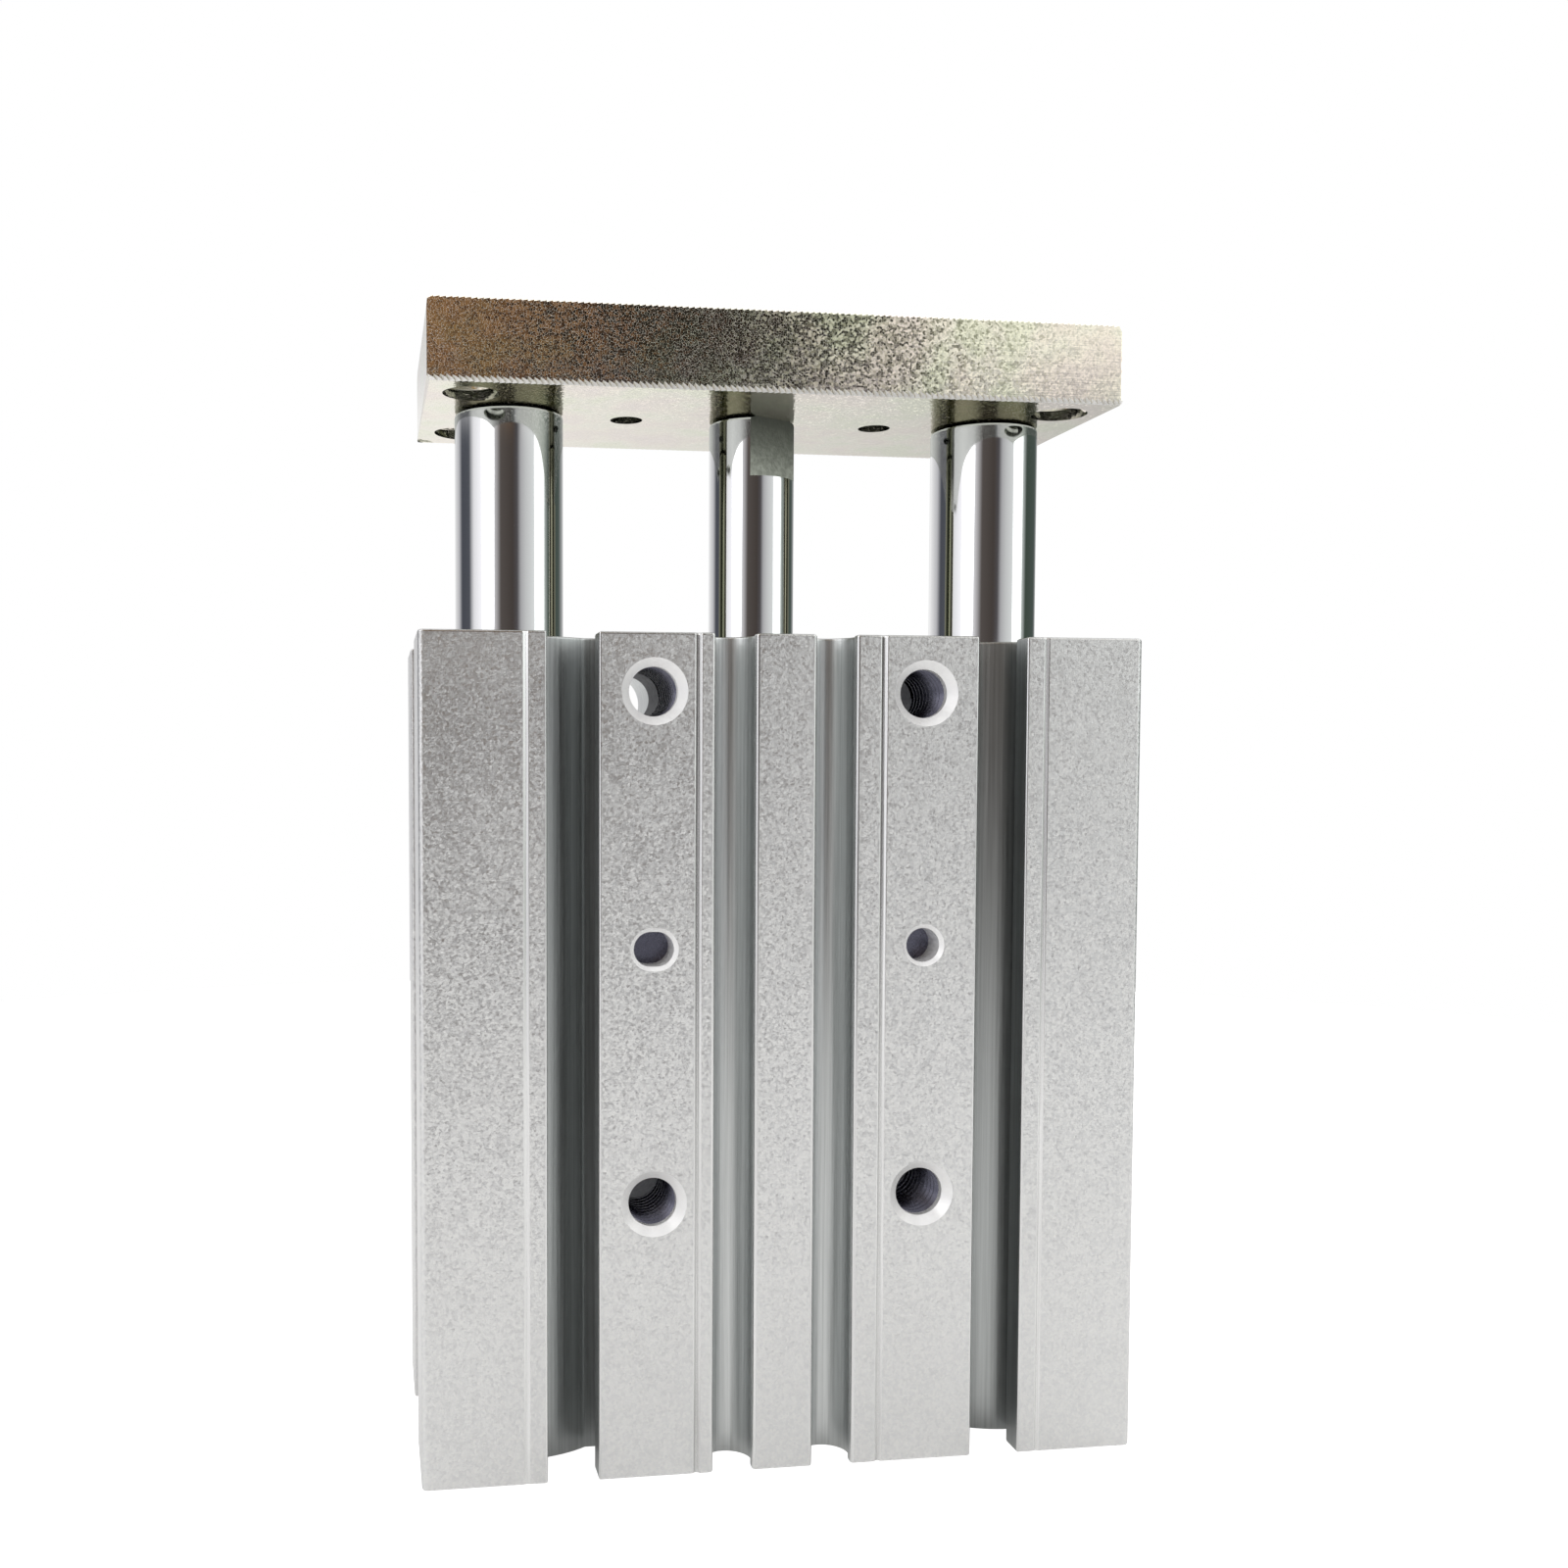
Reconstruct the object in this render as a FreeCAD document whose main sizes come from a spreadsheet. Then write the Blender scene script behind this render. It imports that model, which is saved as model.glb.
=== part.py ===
import FreeCAD, Part
import math
import os
import Sketcher

# Guided pneumatic cylinder: an extruded body with the cylinder bore in the middle and a
# guide bore at each side, and an end plate carried by two guide rods and the piston rod.
# Millimetres. +Z runs along the rods towards the end plate, the wide face with the
# mounting threads looks towards -Y, and the origin is the centre of the body's rear end.
# The moving pieces are drawn with the cylinder drawn in, and their placements carry them
# out by rest_extension.
SIZES = {
    # body extrusion, as wide as its guide bores and the walls beside them ask
    "guide_spacing": 46,
    "guide_bore_diameter": 13,
    "side_wall": 2.5,
    "body_depth": 30,
    "body_corner_radius": 1,
    "body_end_chamfer": 0.3,
    "stroke": 40,
    "rest_extension": 15,
    "cut_overrun": 1,
    # cylinder bore, with a snap ring groove near each end
    "bore_diameter": 16,
    "bore_mouth_chamfer": 0.6,
    "snap_ring_inset": 1.2,
    "snap_groove_width": 1.1,
    "snap_groove_depth": 0.6,
    # grooves and slots that run the whole length
    "guide_mouth_chamfer": 0.5,
    "t_slot_offset": 4,
    "t_slot_mouth": 4.4,
    "t_slot_lip": 2.5,
    "t_slot_inside_width": 7.4,
    "t_slot_depth": 6.7,
    "guide_bore_wall": 3.7,
    "sensor_slot_spacing": 8.9,
    "sensor_slot_shift": 0.5,
    "sensor_slot_back_spacing": 10.5,
    "sensor_slot_diameter": 4.2,
    "sensor_slot_mouth": 3.5,
    "sensor_slot_axis_depth": 2,
    "inner_line_spacing": 16.4,
    "mark_line_width": 0.5,
    "mark_line_depth": 0.25,
    "side_recess_width": 11,
    "side_recess_depth": 1,
    # holes in the wide faces
    "face_hole_spacing_x": 24,
    "face_hole_spacing_z": 44,
    "face_hole_front_inset": 5,
    "face_thread_diameter": 5,
    "face_thread_depth": 10,
    "face_thread_countersink": 5.3,
    "through_hole_diameter": 4.3,
    "counterbore_diameter": 8,
    "counterbore_depth": 4.5,
    "locating_hole_diameter": 3,
    "locating_slot_length": 3.5,
    "locating_hole_depth": 3,
    "locating_hole_chamfer": 0.35,
    "port_thread_diameter": 5,
    "port_thread_depth": 5,
    "port_countersink": 5.8,
    "port_passage_diameter": 1.8,
    "port_inset": 1.1,
    # threads in the rear end
    "rear_hole_inset": 4,
    "rear_thread_diameter": 5,
    "rear_thread_depth": 12,
    "rear_thread_countersink": 5.5,
    # head cover and rod cover
    "head_cover_length": 4.6,
    "rod_cover_length": 7.7,
    "cover_clearance": 0.02,
    "cover_chamfer": 0.3,
    "o_ring_thickness": 1.4,
    "o_ring_squeeze": 0.1,
    "o_ring_groove_width": 1.8,
    "o_ring_inset": 1.1,
    "seal_clearance": 0.03,
    "rod_clearance": 0.04,
    "rod_seal_outside_diameter": 11.6,
    "rod_seal_length": 2.6,
    "rod_seal_inset": 3.6,
    "seal_lip_depth": 0.9,
    "seal_lip_width": 0.55,
    "snap_ring_thickness": 1,
    "snap_ring_width": 1.3,
    "snap_ring_gap": 6,
    "snap_ring_lug_diameter": 3,
    "snap_ring_lug_hole": 1.2,
    "snap_ring_lug_angle": 32,
    # bumpers
    "bumper_length": 2.35,
    "bumper_gap": 0.2,
    "rear_bumper_diameter": 10,
    "front_bumper_diameter": 12.6,
    "bumper_bore_clearance": 0.4,
    # piston
    "piston_length": 11,
    "piston_clearance": 0.12,
    "piston_chamfer": 0.4,
    "wear_ring_inset": 1,
    "wear_ring_width": 2.4,
    "wear_ring_thickness": 0.9,
    "magnet_inset": 4.4,
    "magnet_width": 2.6,
    "magnet_thickness": 1.8,
    "piston_seal_inset": 7.9,
    "piston_seal_width": 2,
    "piston_seal_thickness": 2,
    # rods
    "piston_rod_diameter": 8,
    "piston_spigot_diameter": 5,
    "rod_end_chamfer": 0.4,
    "wrench_flat_width": 6,
    "wrench_flat_length": 5.5,
    "wrench_flat_angle": 26,
    "guide_rod_diameter": 10,
    "guide_rod_inset": 1,
    "guide_rod_chamfer": 0.8,
    # bushes and felts
    "bush_length": 11,
    "front_bush_inset": 1,
    "bush_chamfer": 0.4,
    "guide_clearance": 0.03,
    "rear_bush_margin": 1,
    "felt_length": 3.5,
    "felt_clearance": 0.06,
    # end plate
    "plate_gap": 6,
    "plate_side_inset": 1,
    "plate_depth": 25,
    "plate_thickness": 7,
    "plate_edge_chamfer": 0.25,
    "plate_hole_inset_x": 4,
    "plate_hole_inset_y": 4.5,
    "plate_thread_diameter": 5,
    "plate_thread_countersink": 5.6,
    "plate_dowel_spacing": 24,
    "plate_dowel_diameter": 3,
    # low head socket screws
    "guide_bolt_diameter": 5,
    "guide_bolt_length": 12,
    "guide_bolt_head_diameter": 8.5,
    "guide_bolt_head_height": 3.5,
    "guide_bolt_socket": 3,
    "guide_bolt_recess": 4,
    "rod_bolt_diameter": 4,
    "rod_bolt_length": 10,
    "rod_bolt_head_diameter": 7,
    "rod_bolt_head_height": 2.8,
    "rod_bolt_socket": 2.5,
    "rod_bolt_recess": 3.3,
    "bolt_head_clearance": 0.25,
    "bolt_head_chamfer": 0.3,
    "bolt_socket_depth": 1.7,
    "bolt_end_room": 1,
}

# Lengths worked out from the sizes above, as expressions for the document.
REAR_STACK = "(Dims.snap_ring_inset + Dims.snap_groove_width + Dims.head_cover_length)"
FRONT_STACK = "(Dims.snap_ring_inset + Dims.snap_groove_width + Dims.rod_cover_length)"
PISTON_ROOM = "(2 * (Dims.bumper_length + Dims.bumper_gap) + Dims.piston_length + Dims.stroke)"
BODY_LENGTH = f"({REAR_STACK} + {PISTON_ROOM} + {FRONT_STACK})"
BORE = "(Dims.bore_diameter / 2)"
FACE = "(Dims.body_depth / 2)"
GUIDE_X = "(Dims.guide_spacing / 2)"
GUIDE_BORE = "(Dims.guide_bore_diameter / 2)"
SIDE = f"({GUIDE_X} + {GUIDE_BORE} + Dims.side_wall)"
PLATE_SIDE = f"({SIDE} - Dims.plate_side_inset)"
HEAD_COVER_Z = "(Dims.snap_ring_inset + Dims.snap_groove_width)"
ROD_COVER_Z = f"({BODY_LENGTH} - {FRONT_STACK})"
FRONT_RING_Z = f"({BODY_LENGTH} - Dims.snap_ring_inset - Dims.snap_groove_width)"
FACE_HOLE_Z = f"({BODY_LENGTH} - Dims.face_hole_front_inset - Dims.face_hole_spacing_z / 2)"
PISTON_Z = f"({REAR_STACK} + Dims.bumper_length + Dims.bumper_gap)"
PISTON_TOP = f"({PISTON_Z} + Dims.piston_length)"
PLATE_Z = f"({BODY_LENGTH} + Dims.plate_gap)"
PLATE_TOP = f"({PLATE_Z} + Dims.plate_thickness)"
PISTON_ROD = "(Dims.piston_rod_diameter / 2)"
GUIDE_ROD = "(Dims.guide_rod_diameter / 2)"

TOUCH = 1e-6  # closer than this, two heights are the same

doc = FreeCAD.newDocument("GuidedCylinder")
nodes = []


def fill_sheet():
    sheet = doc.addObject("Spreadsheet::Sheet", "Dims")
    for row, (alias, number) in enumerate(SIZES.items(), start=1):
        sheet.set(f"A{row}", alias)
        sheet.set(f"B{row}", str(number))
        sheet.setAlias(f"B{row}", alias)
    doc.recompute()
    return sheet


dims = fill_sheet()


def value(expression):
    return float(dims.evalExpression(str(expression)))


def new_body(label, moving=False, x="0", turn="0"):
    """A body named after its piece, set beside the axis by x and turned about +Z."""
    body = doc.addObject("PartDesign::Body", label)
    body.Placement = FreeCAD.Placement(FreeCAD.Vector(), FreeCAD.Rotation(FreeCAD.Vector(0, 0, 1), 0))
    body.setExpression("Placement.Base.x", x)
    body.setExpression("Placement.Base.z", "Dims.rest_extension" if moving else "0")
    body.setExpression("Placement.Rotation.Angle", turn)
    nodes.append(body)
    return body


def new_sketch(body, name, role, offset="0", shift="0"):
    """A sketch on one of the body's own planes, lifted off it by offset and moved
    along its first axis by shift."""
    sketch = body.newObject("Sketcher::SketchObject", name)
    plane = [feature for feature in body.Origin.OriginFeatures if feature.Role == role][0]
    sketch.AttachmentSupport = [(plane, "")]
    sketch.MapMode = "FlatFace"
    sketch.setExpression("AttachmentOffset.Base.x", shift)
    sketch.setExpression("AttachmentOffset.Base.z", offset)
    return sketch


def pin(sketch, geometry, position, corner):
    """Hold one point of the sketch at a corner given as two expressions."""
    for kind, axis, coordinate in (("DistanceX", -2, corner[0]), ("DistanceY", -1, corner[1])):
        if coordinate == "0":
            sketch.addConstraint(Sketcher.Constraint("PointOnObject", geometry, position, axis))
        else:
            number = value(coordinate)
            index = sketch.addConstraint(Sketcher.Constraint(kind, -1, 1, geometry, position, number))
            sketch.setExpression(f"Constraints[{index}]", coordinate)


def arc_between(start, end, radius, long_way):
    """A counterclockwise arc from start to end, as a Part arc."""
    chord = end - start
    to_centre = math.sqrt(max(radius**2 - (chord.Length / 2) ** 2, 0))
    side = FreeCAD.Vector(-chord.y, chord.x, 0).normalize()
    centre = start + chord * 0.5 + side * (-to_centre if long_way else to_centre)
    first = math.atan2(start.y - centre.y, start.x - centre.x)
    last = math.atan2(end.y - centre.y, end.x - centre.x)
    return Part.ArcOfCircle(Part.Circle(centre, FreeCAD.Vector(0, 0, 1), radius), first, last)


def draw_outline(sketch, corners, arcs=(), round_ends=()):
    """A closed outline through the corners. arcs maps the number of a side to its
    radius and whether it is more than a half circle, and round_ends numbers the upright
    sides that are half circles. Both run counterclockwise."""
    points = [FreeCAD.Vector(value(x), value(y), 0) for x, y in corners]
    count = len(points)
    first = sketch.GeometryCount
    arcs = dict(arcs)
    for side in range(count):
        start, end = points[side], points[(side + 1) % count]
        if side in round_ends:
            half_circle = arc_between(start, end, (end - start).Length / 2, False)
            sketch.addGeometry(half_circle)
            sketch.addConstraint(Sketcher.Constraint("Vertical", first + side, 3, first + side, 1))
        elif side in arcs:
            radius, long_way = arcs[side]
            sketch.addGeometry(arc_between(start, end, value(radius), long_way))
            index = sketch.addConstraint(Sketcher.Constraint("Radius", first + side, value(radius)))
            sketch.setExpression(f"Constraints[{index}]", radius)
        else:
            sketch.addGeometry(Part.LineSegment(start, end))
    for side in range(count):
        following = first + (side + 1) % count
        sketch.addConstraint(Sketcher.Constraint("Coincident", first + side, 2, following, 1))
        pin(sketch, first + side, 1, corners[side])


def draw_rectangle(sketch, x_low, x_high, y_low, y_high):
    draw_outline(sketch, [(x_low, y_low), (x_high, y_low), (x_high, y_high), (x_low, y_high)])


def draw_circles(sketch, centres, diameter):
    for x, y in centres:
        centre = FreeCAD.Vector(value(x), value(y), 0)
        circle = Part.Circle(centre, FreeCAD.Vector(0, 0, 1), value(diameter) / 2)
        geometry = sketch.addGeometry(circle)
        pin(sketch, geometry, 3, (x, y))
        index = sketch.addConstraint(Sketcher.Constraint("Diameter", geometry, value(diameter)))
        sketch.setExpression(f"Constraints[{index}]", diameter)


def draw_hexagon(sketch, across_flats):
    half = f"({across_flats} / 2)"
    corner = f"({across_flats} / sqrt(3))"
    draw_outline(sketch, [(f"-{corner} / 2", f"-{half}"), (f"{corner} / 2", f"-{half}"), (corner, "0"),
                          (f"{corner} / 2", half), (f"-{corner} / 2", half), (f"-{corner}", "0")])


def four_corners(spacing_x, spacing_y, middle_y="0"):
    return [(f"{side_x} * {spacing_x} / 2", f"{middle_y} + {side_y} * {spacing_y} / 2")
            for side_x in (-1, 1) for side_y in (-1, 1)]


def pad(body, sketch, length):
    feature = body.newObject("PartDesign::Pad", f"{sketch.Name}_pad")
    feature.Profile = sketch
    feature.setExpression("Length", length)
    return feature


def pocket(body, sketch, length=None, upwards=True):
    """A pocket of one length, or through the whole body where none is given."""
    feature = body.newObject("PartDesign::Pocket", f"{sketch.Name}_pocket")
    feature.Profile = sketch
    feature.Reversed = upwards
    if length is None:
        feature.Type = "ThroughAll"
    else:
        feature.setExpression("Length", length)
    return feature


def revolve(body, sketch, kind="PartDesign::Revolution"):
    feature = body.newObject(kind, f"{sketch.Name}_turn")
    feature.Profile = sketch
    feature.ReferenceAxis = (sketch, ["V_Axis"])
    feature.Angle = 360
    return feature


def drill(body, sketch, diameter, depth=None, from_behind=False, counterbore=None, countersink=None):
    """Flat-ended holes at the sketch's circles, through the body where no depth is given."""
    doc.recompute()
    feature = body.newObject("PartDesign::Hole", f"{sketch.Name}_hole")
    feature.Profile = sketch
    feature.Reversed = from_behind
    feature.ThreadType = "None"
    feature.DrillPoint = "Flat"
    feature.setExpression("Diameter", diameter)
    if depth is None:
        feature.DepthType = "ThroughAll"
    else:
        feature.DepthType = "Dimension"
        feature.setExpression("Depth", depth)
    if counterbore is not None:
        feature.HoleCutType = "Counterbore"
        feature.HoleCutCustomValues = True
        feature.setExpression("HoleCutDiameter", counterbore[0])
        feature.setExpression("HoleCutDepth", counterbore[1])
    if countersink is not None:
        feature.HoleCutType = "Countersink"
        feature.HoleCutCustomValues = True
        feature.HoleCutCountersinkAngle = 90
        feature.setExpression("HoleCutDiameter", countersink)
    return feature


def mirror(body, name, originals, role="YZ_Plane"):
    feature = body.newObject("PartDesign::Mirrored", name)
    feature.Originals = originals
    plane = [part for part in body.Origin.OriginFeatures if part.Role == role][0]
    feature.MirrorPlane = (plane, [""])
    body.Tip = feature
    return feature


def turned(label, outline, moving=False, x="0", turn="0"):
    """A piece turned about its own axis from an outline of (radius, height) corners."""
    body = new_body(label, moving, x, turn)
    sketch = new_sketch(body, f"{label}_outline", "XZ_Plane")
    draw_outline(sketch, outline)
    revolve(body, sketch)
    return body


def ring_outline(inner, outer, low, high, chamfer=None):
    if chamfer is None:
        return [(inner, low), (outer, low), (outer, high), (inner, high)]
    return [(inner, low), (f"{outer} - {chamfer}", low), (outer, f"{low} + {chamfer}"),
            (outer, f"{high} - {chamfer}"), (f"{outer} - {chamfer}", high), (inner, high)]


def edge_names(shape, wanted):
    return [f"Edge{number}" for number, edge in enumerate(shape.Edges, start=1) if wanted(edge)]


def is_upright(edge):
    box = edge.BoundBox
    return box.ZLength > box.XLength + box.YLength


def extrude_body(body):
    outline = new_sketch(body, "outside", "XY_Plane")
    draw_rectangle(outline, f"-{SIDE}", SIDE, f"-{FACE}", FACE)
    block = pad(body, outline, BODY_LENGTH)
    doc.recompute()
    corners = body.newObject("PartDesign::Fillet", "corners")
    corners.Base = (block, edge_names(block.Shape, is_upright))
    corners.setExpression("Radius", "Dims.body_corner_radius")
    doc.recompute()
    ends = body.newObject("PartDesign::Chamfer", "end_edges")
    ends.Base = (corners, edge_names(corners.Shape, lambda edge: edge.BoundBox.ZLength < TOUCH))
    ends.setExpression("Size", "Dims.body_end_chamfer")


def bore_outline(radius, chamfer, grooves=()):
    """Half section of a bore through the body, wider at both mouths and at its grooves."""
    flare = f"{radius} + {chamfer} + Dims.cut_overrun"
    corners = [("0", "-Dims.cut_overrun"), (flare, "-Dims.cut_overrun"), (radius, chamfer)]
    for low, depth, width in grooves:
        wide = f"{radius} + {depth}"
        corners += [(radius, low), (wide, low), (wide, f"{low} + {width}"), (radius, f"{low} + {width}")]
    corners += [(radius, f"{BODY_LENGTH} - {chamfer}"), (flare, f"{BODY_LENGTH} + Dims.cut_overrun"),
                ("0", f"{BODY_LENGTH} + Dims.cut_overrun")]
    return corners


def bore_body(body):
    bore = new_sketch(body, "cylinder_bore", "XZ_Plane")
    grooves = [(low, "Dims.snap_groove_depth", "Dims.snap_groove_width")
               for low in ("Dims.snap_ring_inset", FRONT_RING_Z)]
    draw_outline(bore, bore_outline(BORE, "Dims.bore_mouth_chamfer", grooves))
    revolve(body, bore, "PartDesign::Groove")
    guide = new_sketch(body, "guide_bore", "XZ_Plane", shift=GUIDE_X)
    draw_outline(guide, bore_outline(GUIDE_BORE, "Dims.guide_mouth_chamfer"))
    return revolve(body, guide, "PartDesign::Groove")


def t_slot(body):
    """One T-slot in the front face. Its floor is flat beside the cylinder bore and
    follows the guide bore's wall on the other side."""
    middle = f"({GUIDE_X} - Dims.t_slot_offset)"
    half_mouth = "(Dims.t_slot_mouth / 2)"
    half_inside = "(Dims.t_slot_inside_width / 2)"
    over = f"-{FACE} - Dims.cut_overrun"
    lip = f"(-{FACE} + Dims.t_slot_lip)"
    floor = f"(-{FACE} + Dims.t_slot_depth)"
    wall = f"({GUIDE_BORE} + Dims.guide_bore_wall)"
    outer = f"({middle} + {half_inside})"
    wall_start = f"{GUIDE_X} - sqrt({wall}^2 - {floor}^2)"
    wall_end = f"-sqrt({wall}^2 - ({GUIDE_X} - {outer})^2)"
    sketch = new_sketch(body, "t_slot", "XY_Plane")
    corners = [(f"{middle} - {half_mouth}", over), (f"{middle} - {half_mouth}", lip),
               (f"{middle} - {half_inside}", lip), (f"{middle} - {half_inside}", floor),
               (wall_start, floor), (outer, wall_end), (outer, lip),
               (f"{middle} + {half_mouth}", lip), (f"{middle} + {half_mouth}", over)]
    draw_outline(sketch, corners, {4: (wall, False)})
    return pocket(body, sketch)


def sensor_slot(body, name, middle, side):
    """A round-bottomed slot for a position sensor, in the front (-1) or back (1) face."""
    half_mouth = "(Dims.sensor_slot_mouth / 2)"
    radius = "(Dims.sensor_slot_diameter / 2)"
    axis = f"({side} * ({FACE} - Dims.sensor_slot_axis_depth))"
    lip = f"{axis} + {side} * sqrt({radius}^2 - {half_mouth}^2)"
    over = f"{side} * ({FACE} + Dims.cut_overrun)"
    sketch = new_sketch(body, name, "XY_Plane")
    near, far = (f"{middle} + {side} * {half_mouth}", f"{middle} - {side} * {half_mouth}")
    draw_outline(sketch, [(near, over), (far, over), (far, lip), (near, lip)], {2: (radius, True)})
    return pocket(body, sketch)


def mark_line(body, name, middle):
    """A fine V-shaped line along the front face."""
    half = "(Dims.mark_line_width / 2)"
    over = f"-{FACE} - Dims.cut_overrun"
    sketch = new_sketch(body, name, "XY_Plane")
    draw_outline(sketch, [(f"{middle} - {half}", over), (f"{middle} + {half}", over),
                          (f"{middle} + {half}", f"-{FACE}"), (middle, f"-{FACE} + Dims.mark_line_depth"),
                          (f"{middle} - {half}", f"-{FACE}")])
    return pocket(body, sketch)


def side_recess(body):
    sketch = new_sketch(body, "side_recess", "XY_Plane")
    draw_rectangle(sketch, f"{SIDE} - Dims.side_recess_depth", f"{SIDE} + Dims.cut_overrun",
                   "-Dims.side_recess_width / 2", "Dims.side_recess_width / 2")
    return pocket(body, sketch)


def face_holes(body):
    """Four threads from the front, with clearance holes and counterbores from the back,
    so that the body can be screwed down from either side."""
    corners = four_corners("Dims.face_hole_spacing_x", "Dims.face_hole_spacing_z", FACE_HOLE_Z)
    through = new_sketch(body, "through_holes", "XZ_Plane", f"-{FACE}")
    draw_circles(through, corners, "Dims.through_hole_diameter")
    drill(body, through, "Dims.through_hole_diameter", from_behind=True,
          counterbore=("Dims.counterbore_diameter", "Dims.counterbore_depth"))
    threads = new_sketch(body, "face_threads", "XZ_Plane", FACE)
    draw_circles(threads, corners, "Dims.face_thread_diameter")
    drill(body, threads, "Dims.face_thread_diameter", "Dims.face_thread_depth",
          countersink="Dims.face_thread_countersink")


def locating_holes(body):
    """A round hole and a short slot across the body take two dowels halfway between the
    face threads."""
    middle_x = "Dims.face_hole_spacing_x / 2"
    radius = "(Dims.locating_hole_diameter / 2)"
    hole = new_sketch(body, "locating_hole", "XZ_Plane", FACE)
    draw_circles(hole, [(middle_x, FACE_HOLE_Z)], "Dims.locating_hole_diameter")
    drill(body, hole, "Dims.locating_hole_diameter", "Dims.locating_hole_depth",
          countersink="Dims.locating_hole_diameter + 2 * Dims.locating_hole_chamfer")
    slot = new_sketch(body, "locating_slot", "XZ_Plane", FACE)
    reach = f"(Dims.locating_slot_length / 2 - {radius})"
    left, right = f"-{middle_x} - {reach}", f"-{middle_x} + {reach}"
    low, high = f"{FACE_HOLE_Z} - {radius}", f"{FACE_HOLE_Z} + {radius}"
    corners = [(left, low), (right, low), (right, high), (left, high)]
    draw_outline(slot, corners, round_ends=range(1, len(corners), 2))
    cut = pocket(body, slot, "Dims.locating_hole_depth", upwards=False)
    doc.recompute()
    face_y = -value(FACE)
    low_z = value(FACE_HOLE_Z) - value("Dims.locating_slot_length")
    high_z = value(FACE_HOLE_Z) + value("Dims.locating_slot_length")

    def at_mouth(edge):
        box = edge.BoundBox
        flat = box.YLength < TOUCH and abs(box.YMin - face_y) < TOUCH
        return flat and low_z < box.ZMin and box.ZMax < high_z and box.XMax < 0

    chamfer = body.newObject("PartDesign::Chamfer", "locating_slot_mouth")
    chamfer.Base = (cut, edge_names(cut.Shape, at_mouth))
    chamfer.setExpression("Size", "Dims.locating_hole_chamfer")


def ports(body):
    """Threaded air ports in the back face, each over the end chamber that it feeds."""
    rear = f"({REAR_STACK} + Dims.port_inset)"
    front = f"({ROD_COVER_Z} - Dims.port_inset)"
    for name, height in (("rear_port", rear), ("front_port", front)):
        thread = new_sketch(body, name, "XZ_Plane", f"-{FACE}")
        draw_circles(thread, [("0", height)], "Dims.port_thread_diameter")
        drill(body, thread, "Dims.port_thread_diameter", "Dims.port_thread_depth", from_behind=True,
              countersink="Dims.port_countersink")
        passage = new_sketch(body, f"{name}_passage", "XZ_Plane", f"-{FACE}")
        draw_circles(passage, [("0", height)], "Dims.port_passage_diameter")
        drill(body, passage, "Dims.port_passage_diameter", f"{FACE} - {BORE} / 2", from_behind=True)


def rear_threads(body):
    sketch = new_sketch(body, "rear_threads", "XY_Plane")
    corners = four_corners(f"2 * ({SIDE} - Dims.rear_hole_inset)", f"2 * ({FACE} - Dims.rear_hole_inset)")
    draw_circles(sketch, corners, "Dims.rear_thread_diameter")
    drill(body, sketch, "Dims.rear_thread_diameter", "Dims.rear_thread_depth", from_behind=True,
          countersink="Dims.rear_thread_countersink")


def make_body_extrusion():
    body = new_body("body_extrusion")
    extrude_body(body)
    paired = [bore_body(body), t_slot(body),
              sensor_slot(body, "sensor_slot_back", "(Dims.sensor_slot_back_spacing / 2)", 1),
              mark_line(body, "outer_line", GUIDE_X),
              mark_line(body, "inner_line", "(Dims.inner_line_spacing / 2)"), side_recess(body)]
    mirror(body, "both_sides", paired)
    for name, sign in (("left", "-"), ("right", "")):
        # the front pair of sensor slots lies a little to the left of the middle
        middle = f"({sign}Dims.sensor_slot_spacing / 2 - Dims.sensor_slot_shift)"
        sensor_slot(body, f"sensor_slot_{name}", middle, -1)
    face_holes(body)
    locating_holes(body)
    ports(body)
    rear_threads(body)


def make_snap_ring(label, low):
    """An internal snap ring in its groove, with a gap and two lugs that have plier holes."""
    ring = new_body(label)
    outside = f"({BORE} + Dims.snap_groove_depth - Dims.cover_clearance)"
    inside = f"({outside} - Dims.snap_ring_width)"
    band = new_sketch(ring, f"{label}_band", "XY_Plane", low)
    draw_circles(band, [("0", "0")], f"2 * {outside}")
    draw_circles(band, [("0", "0")], f"2 * {inside}")
    pad(ring, band, "Dims.snap_ring_thickness")
    gap = new_sketch(ring, f"{label}_gap", "XY_Plane", low)
    draw_rectangle(gap, "-Dims.snap_ring_gap / 2", "Dims.snap_ring_gap / 2",
                   f"-{outside} - Dims.cut_overrun", f"-{inside} / 2")
    pocket(ring, gap)
    lug_radius = f"({inside} - Dims.snap_ring_lug_diameter / 4)"
    lug_x = f"{lug_radius} * sin(Dims.snap_ring_lug_angle)"
    lug_y = f"-{lug_radius} * cos(Dims.snap_ring_lug_angle)"
    lugs = new_sketch(ring, f"{label}_lugs", "XY_Plane", low)
    draw_circles(lugs, [(f"-{lug_x}", lug_y), (lug_x, lug_y)], "Dims.snap_ring_lug_diameter")
    pad(ring, lugs, "Dims.snap_ring_thickness")
    holes = new_sketch(ring, f"{label}_plier_holes", "XY_Plane", low)
    draw_circles(holes, [(f"-{lug_x}", lug_y), (lug_x, lug_y)], "Dims.snap_ring_lug_hole")
    pocket(ring, holes)


COVER = f"({BORE} - Dims.cover_clearance)"
O_RING_FLOOR = f"({BORE} - Dims.o_ring_thickness + Dims.o_ring_squeeze)"


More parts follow.
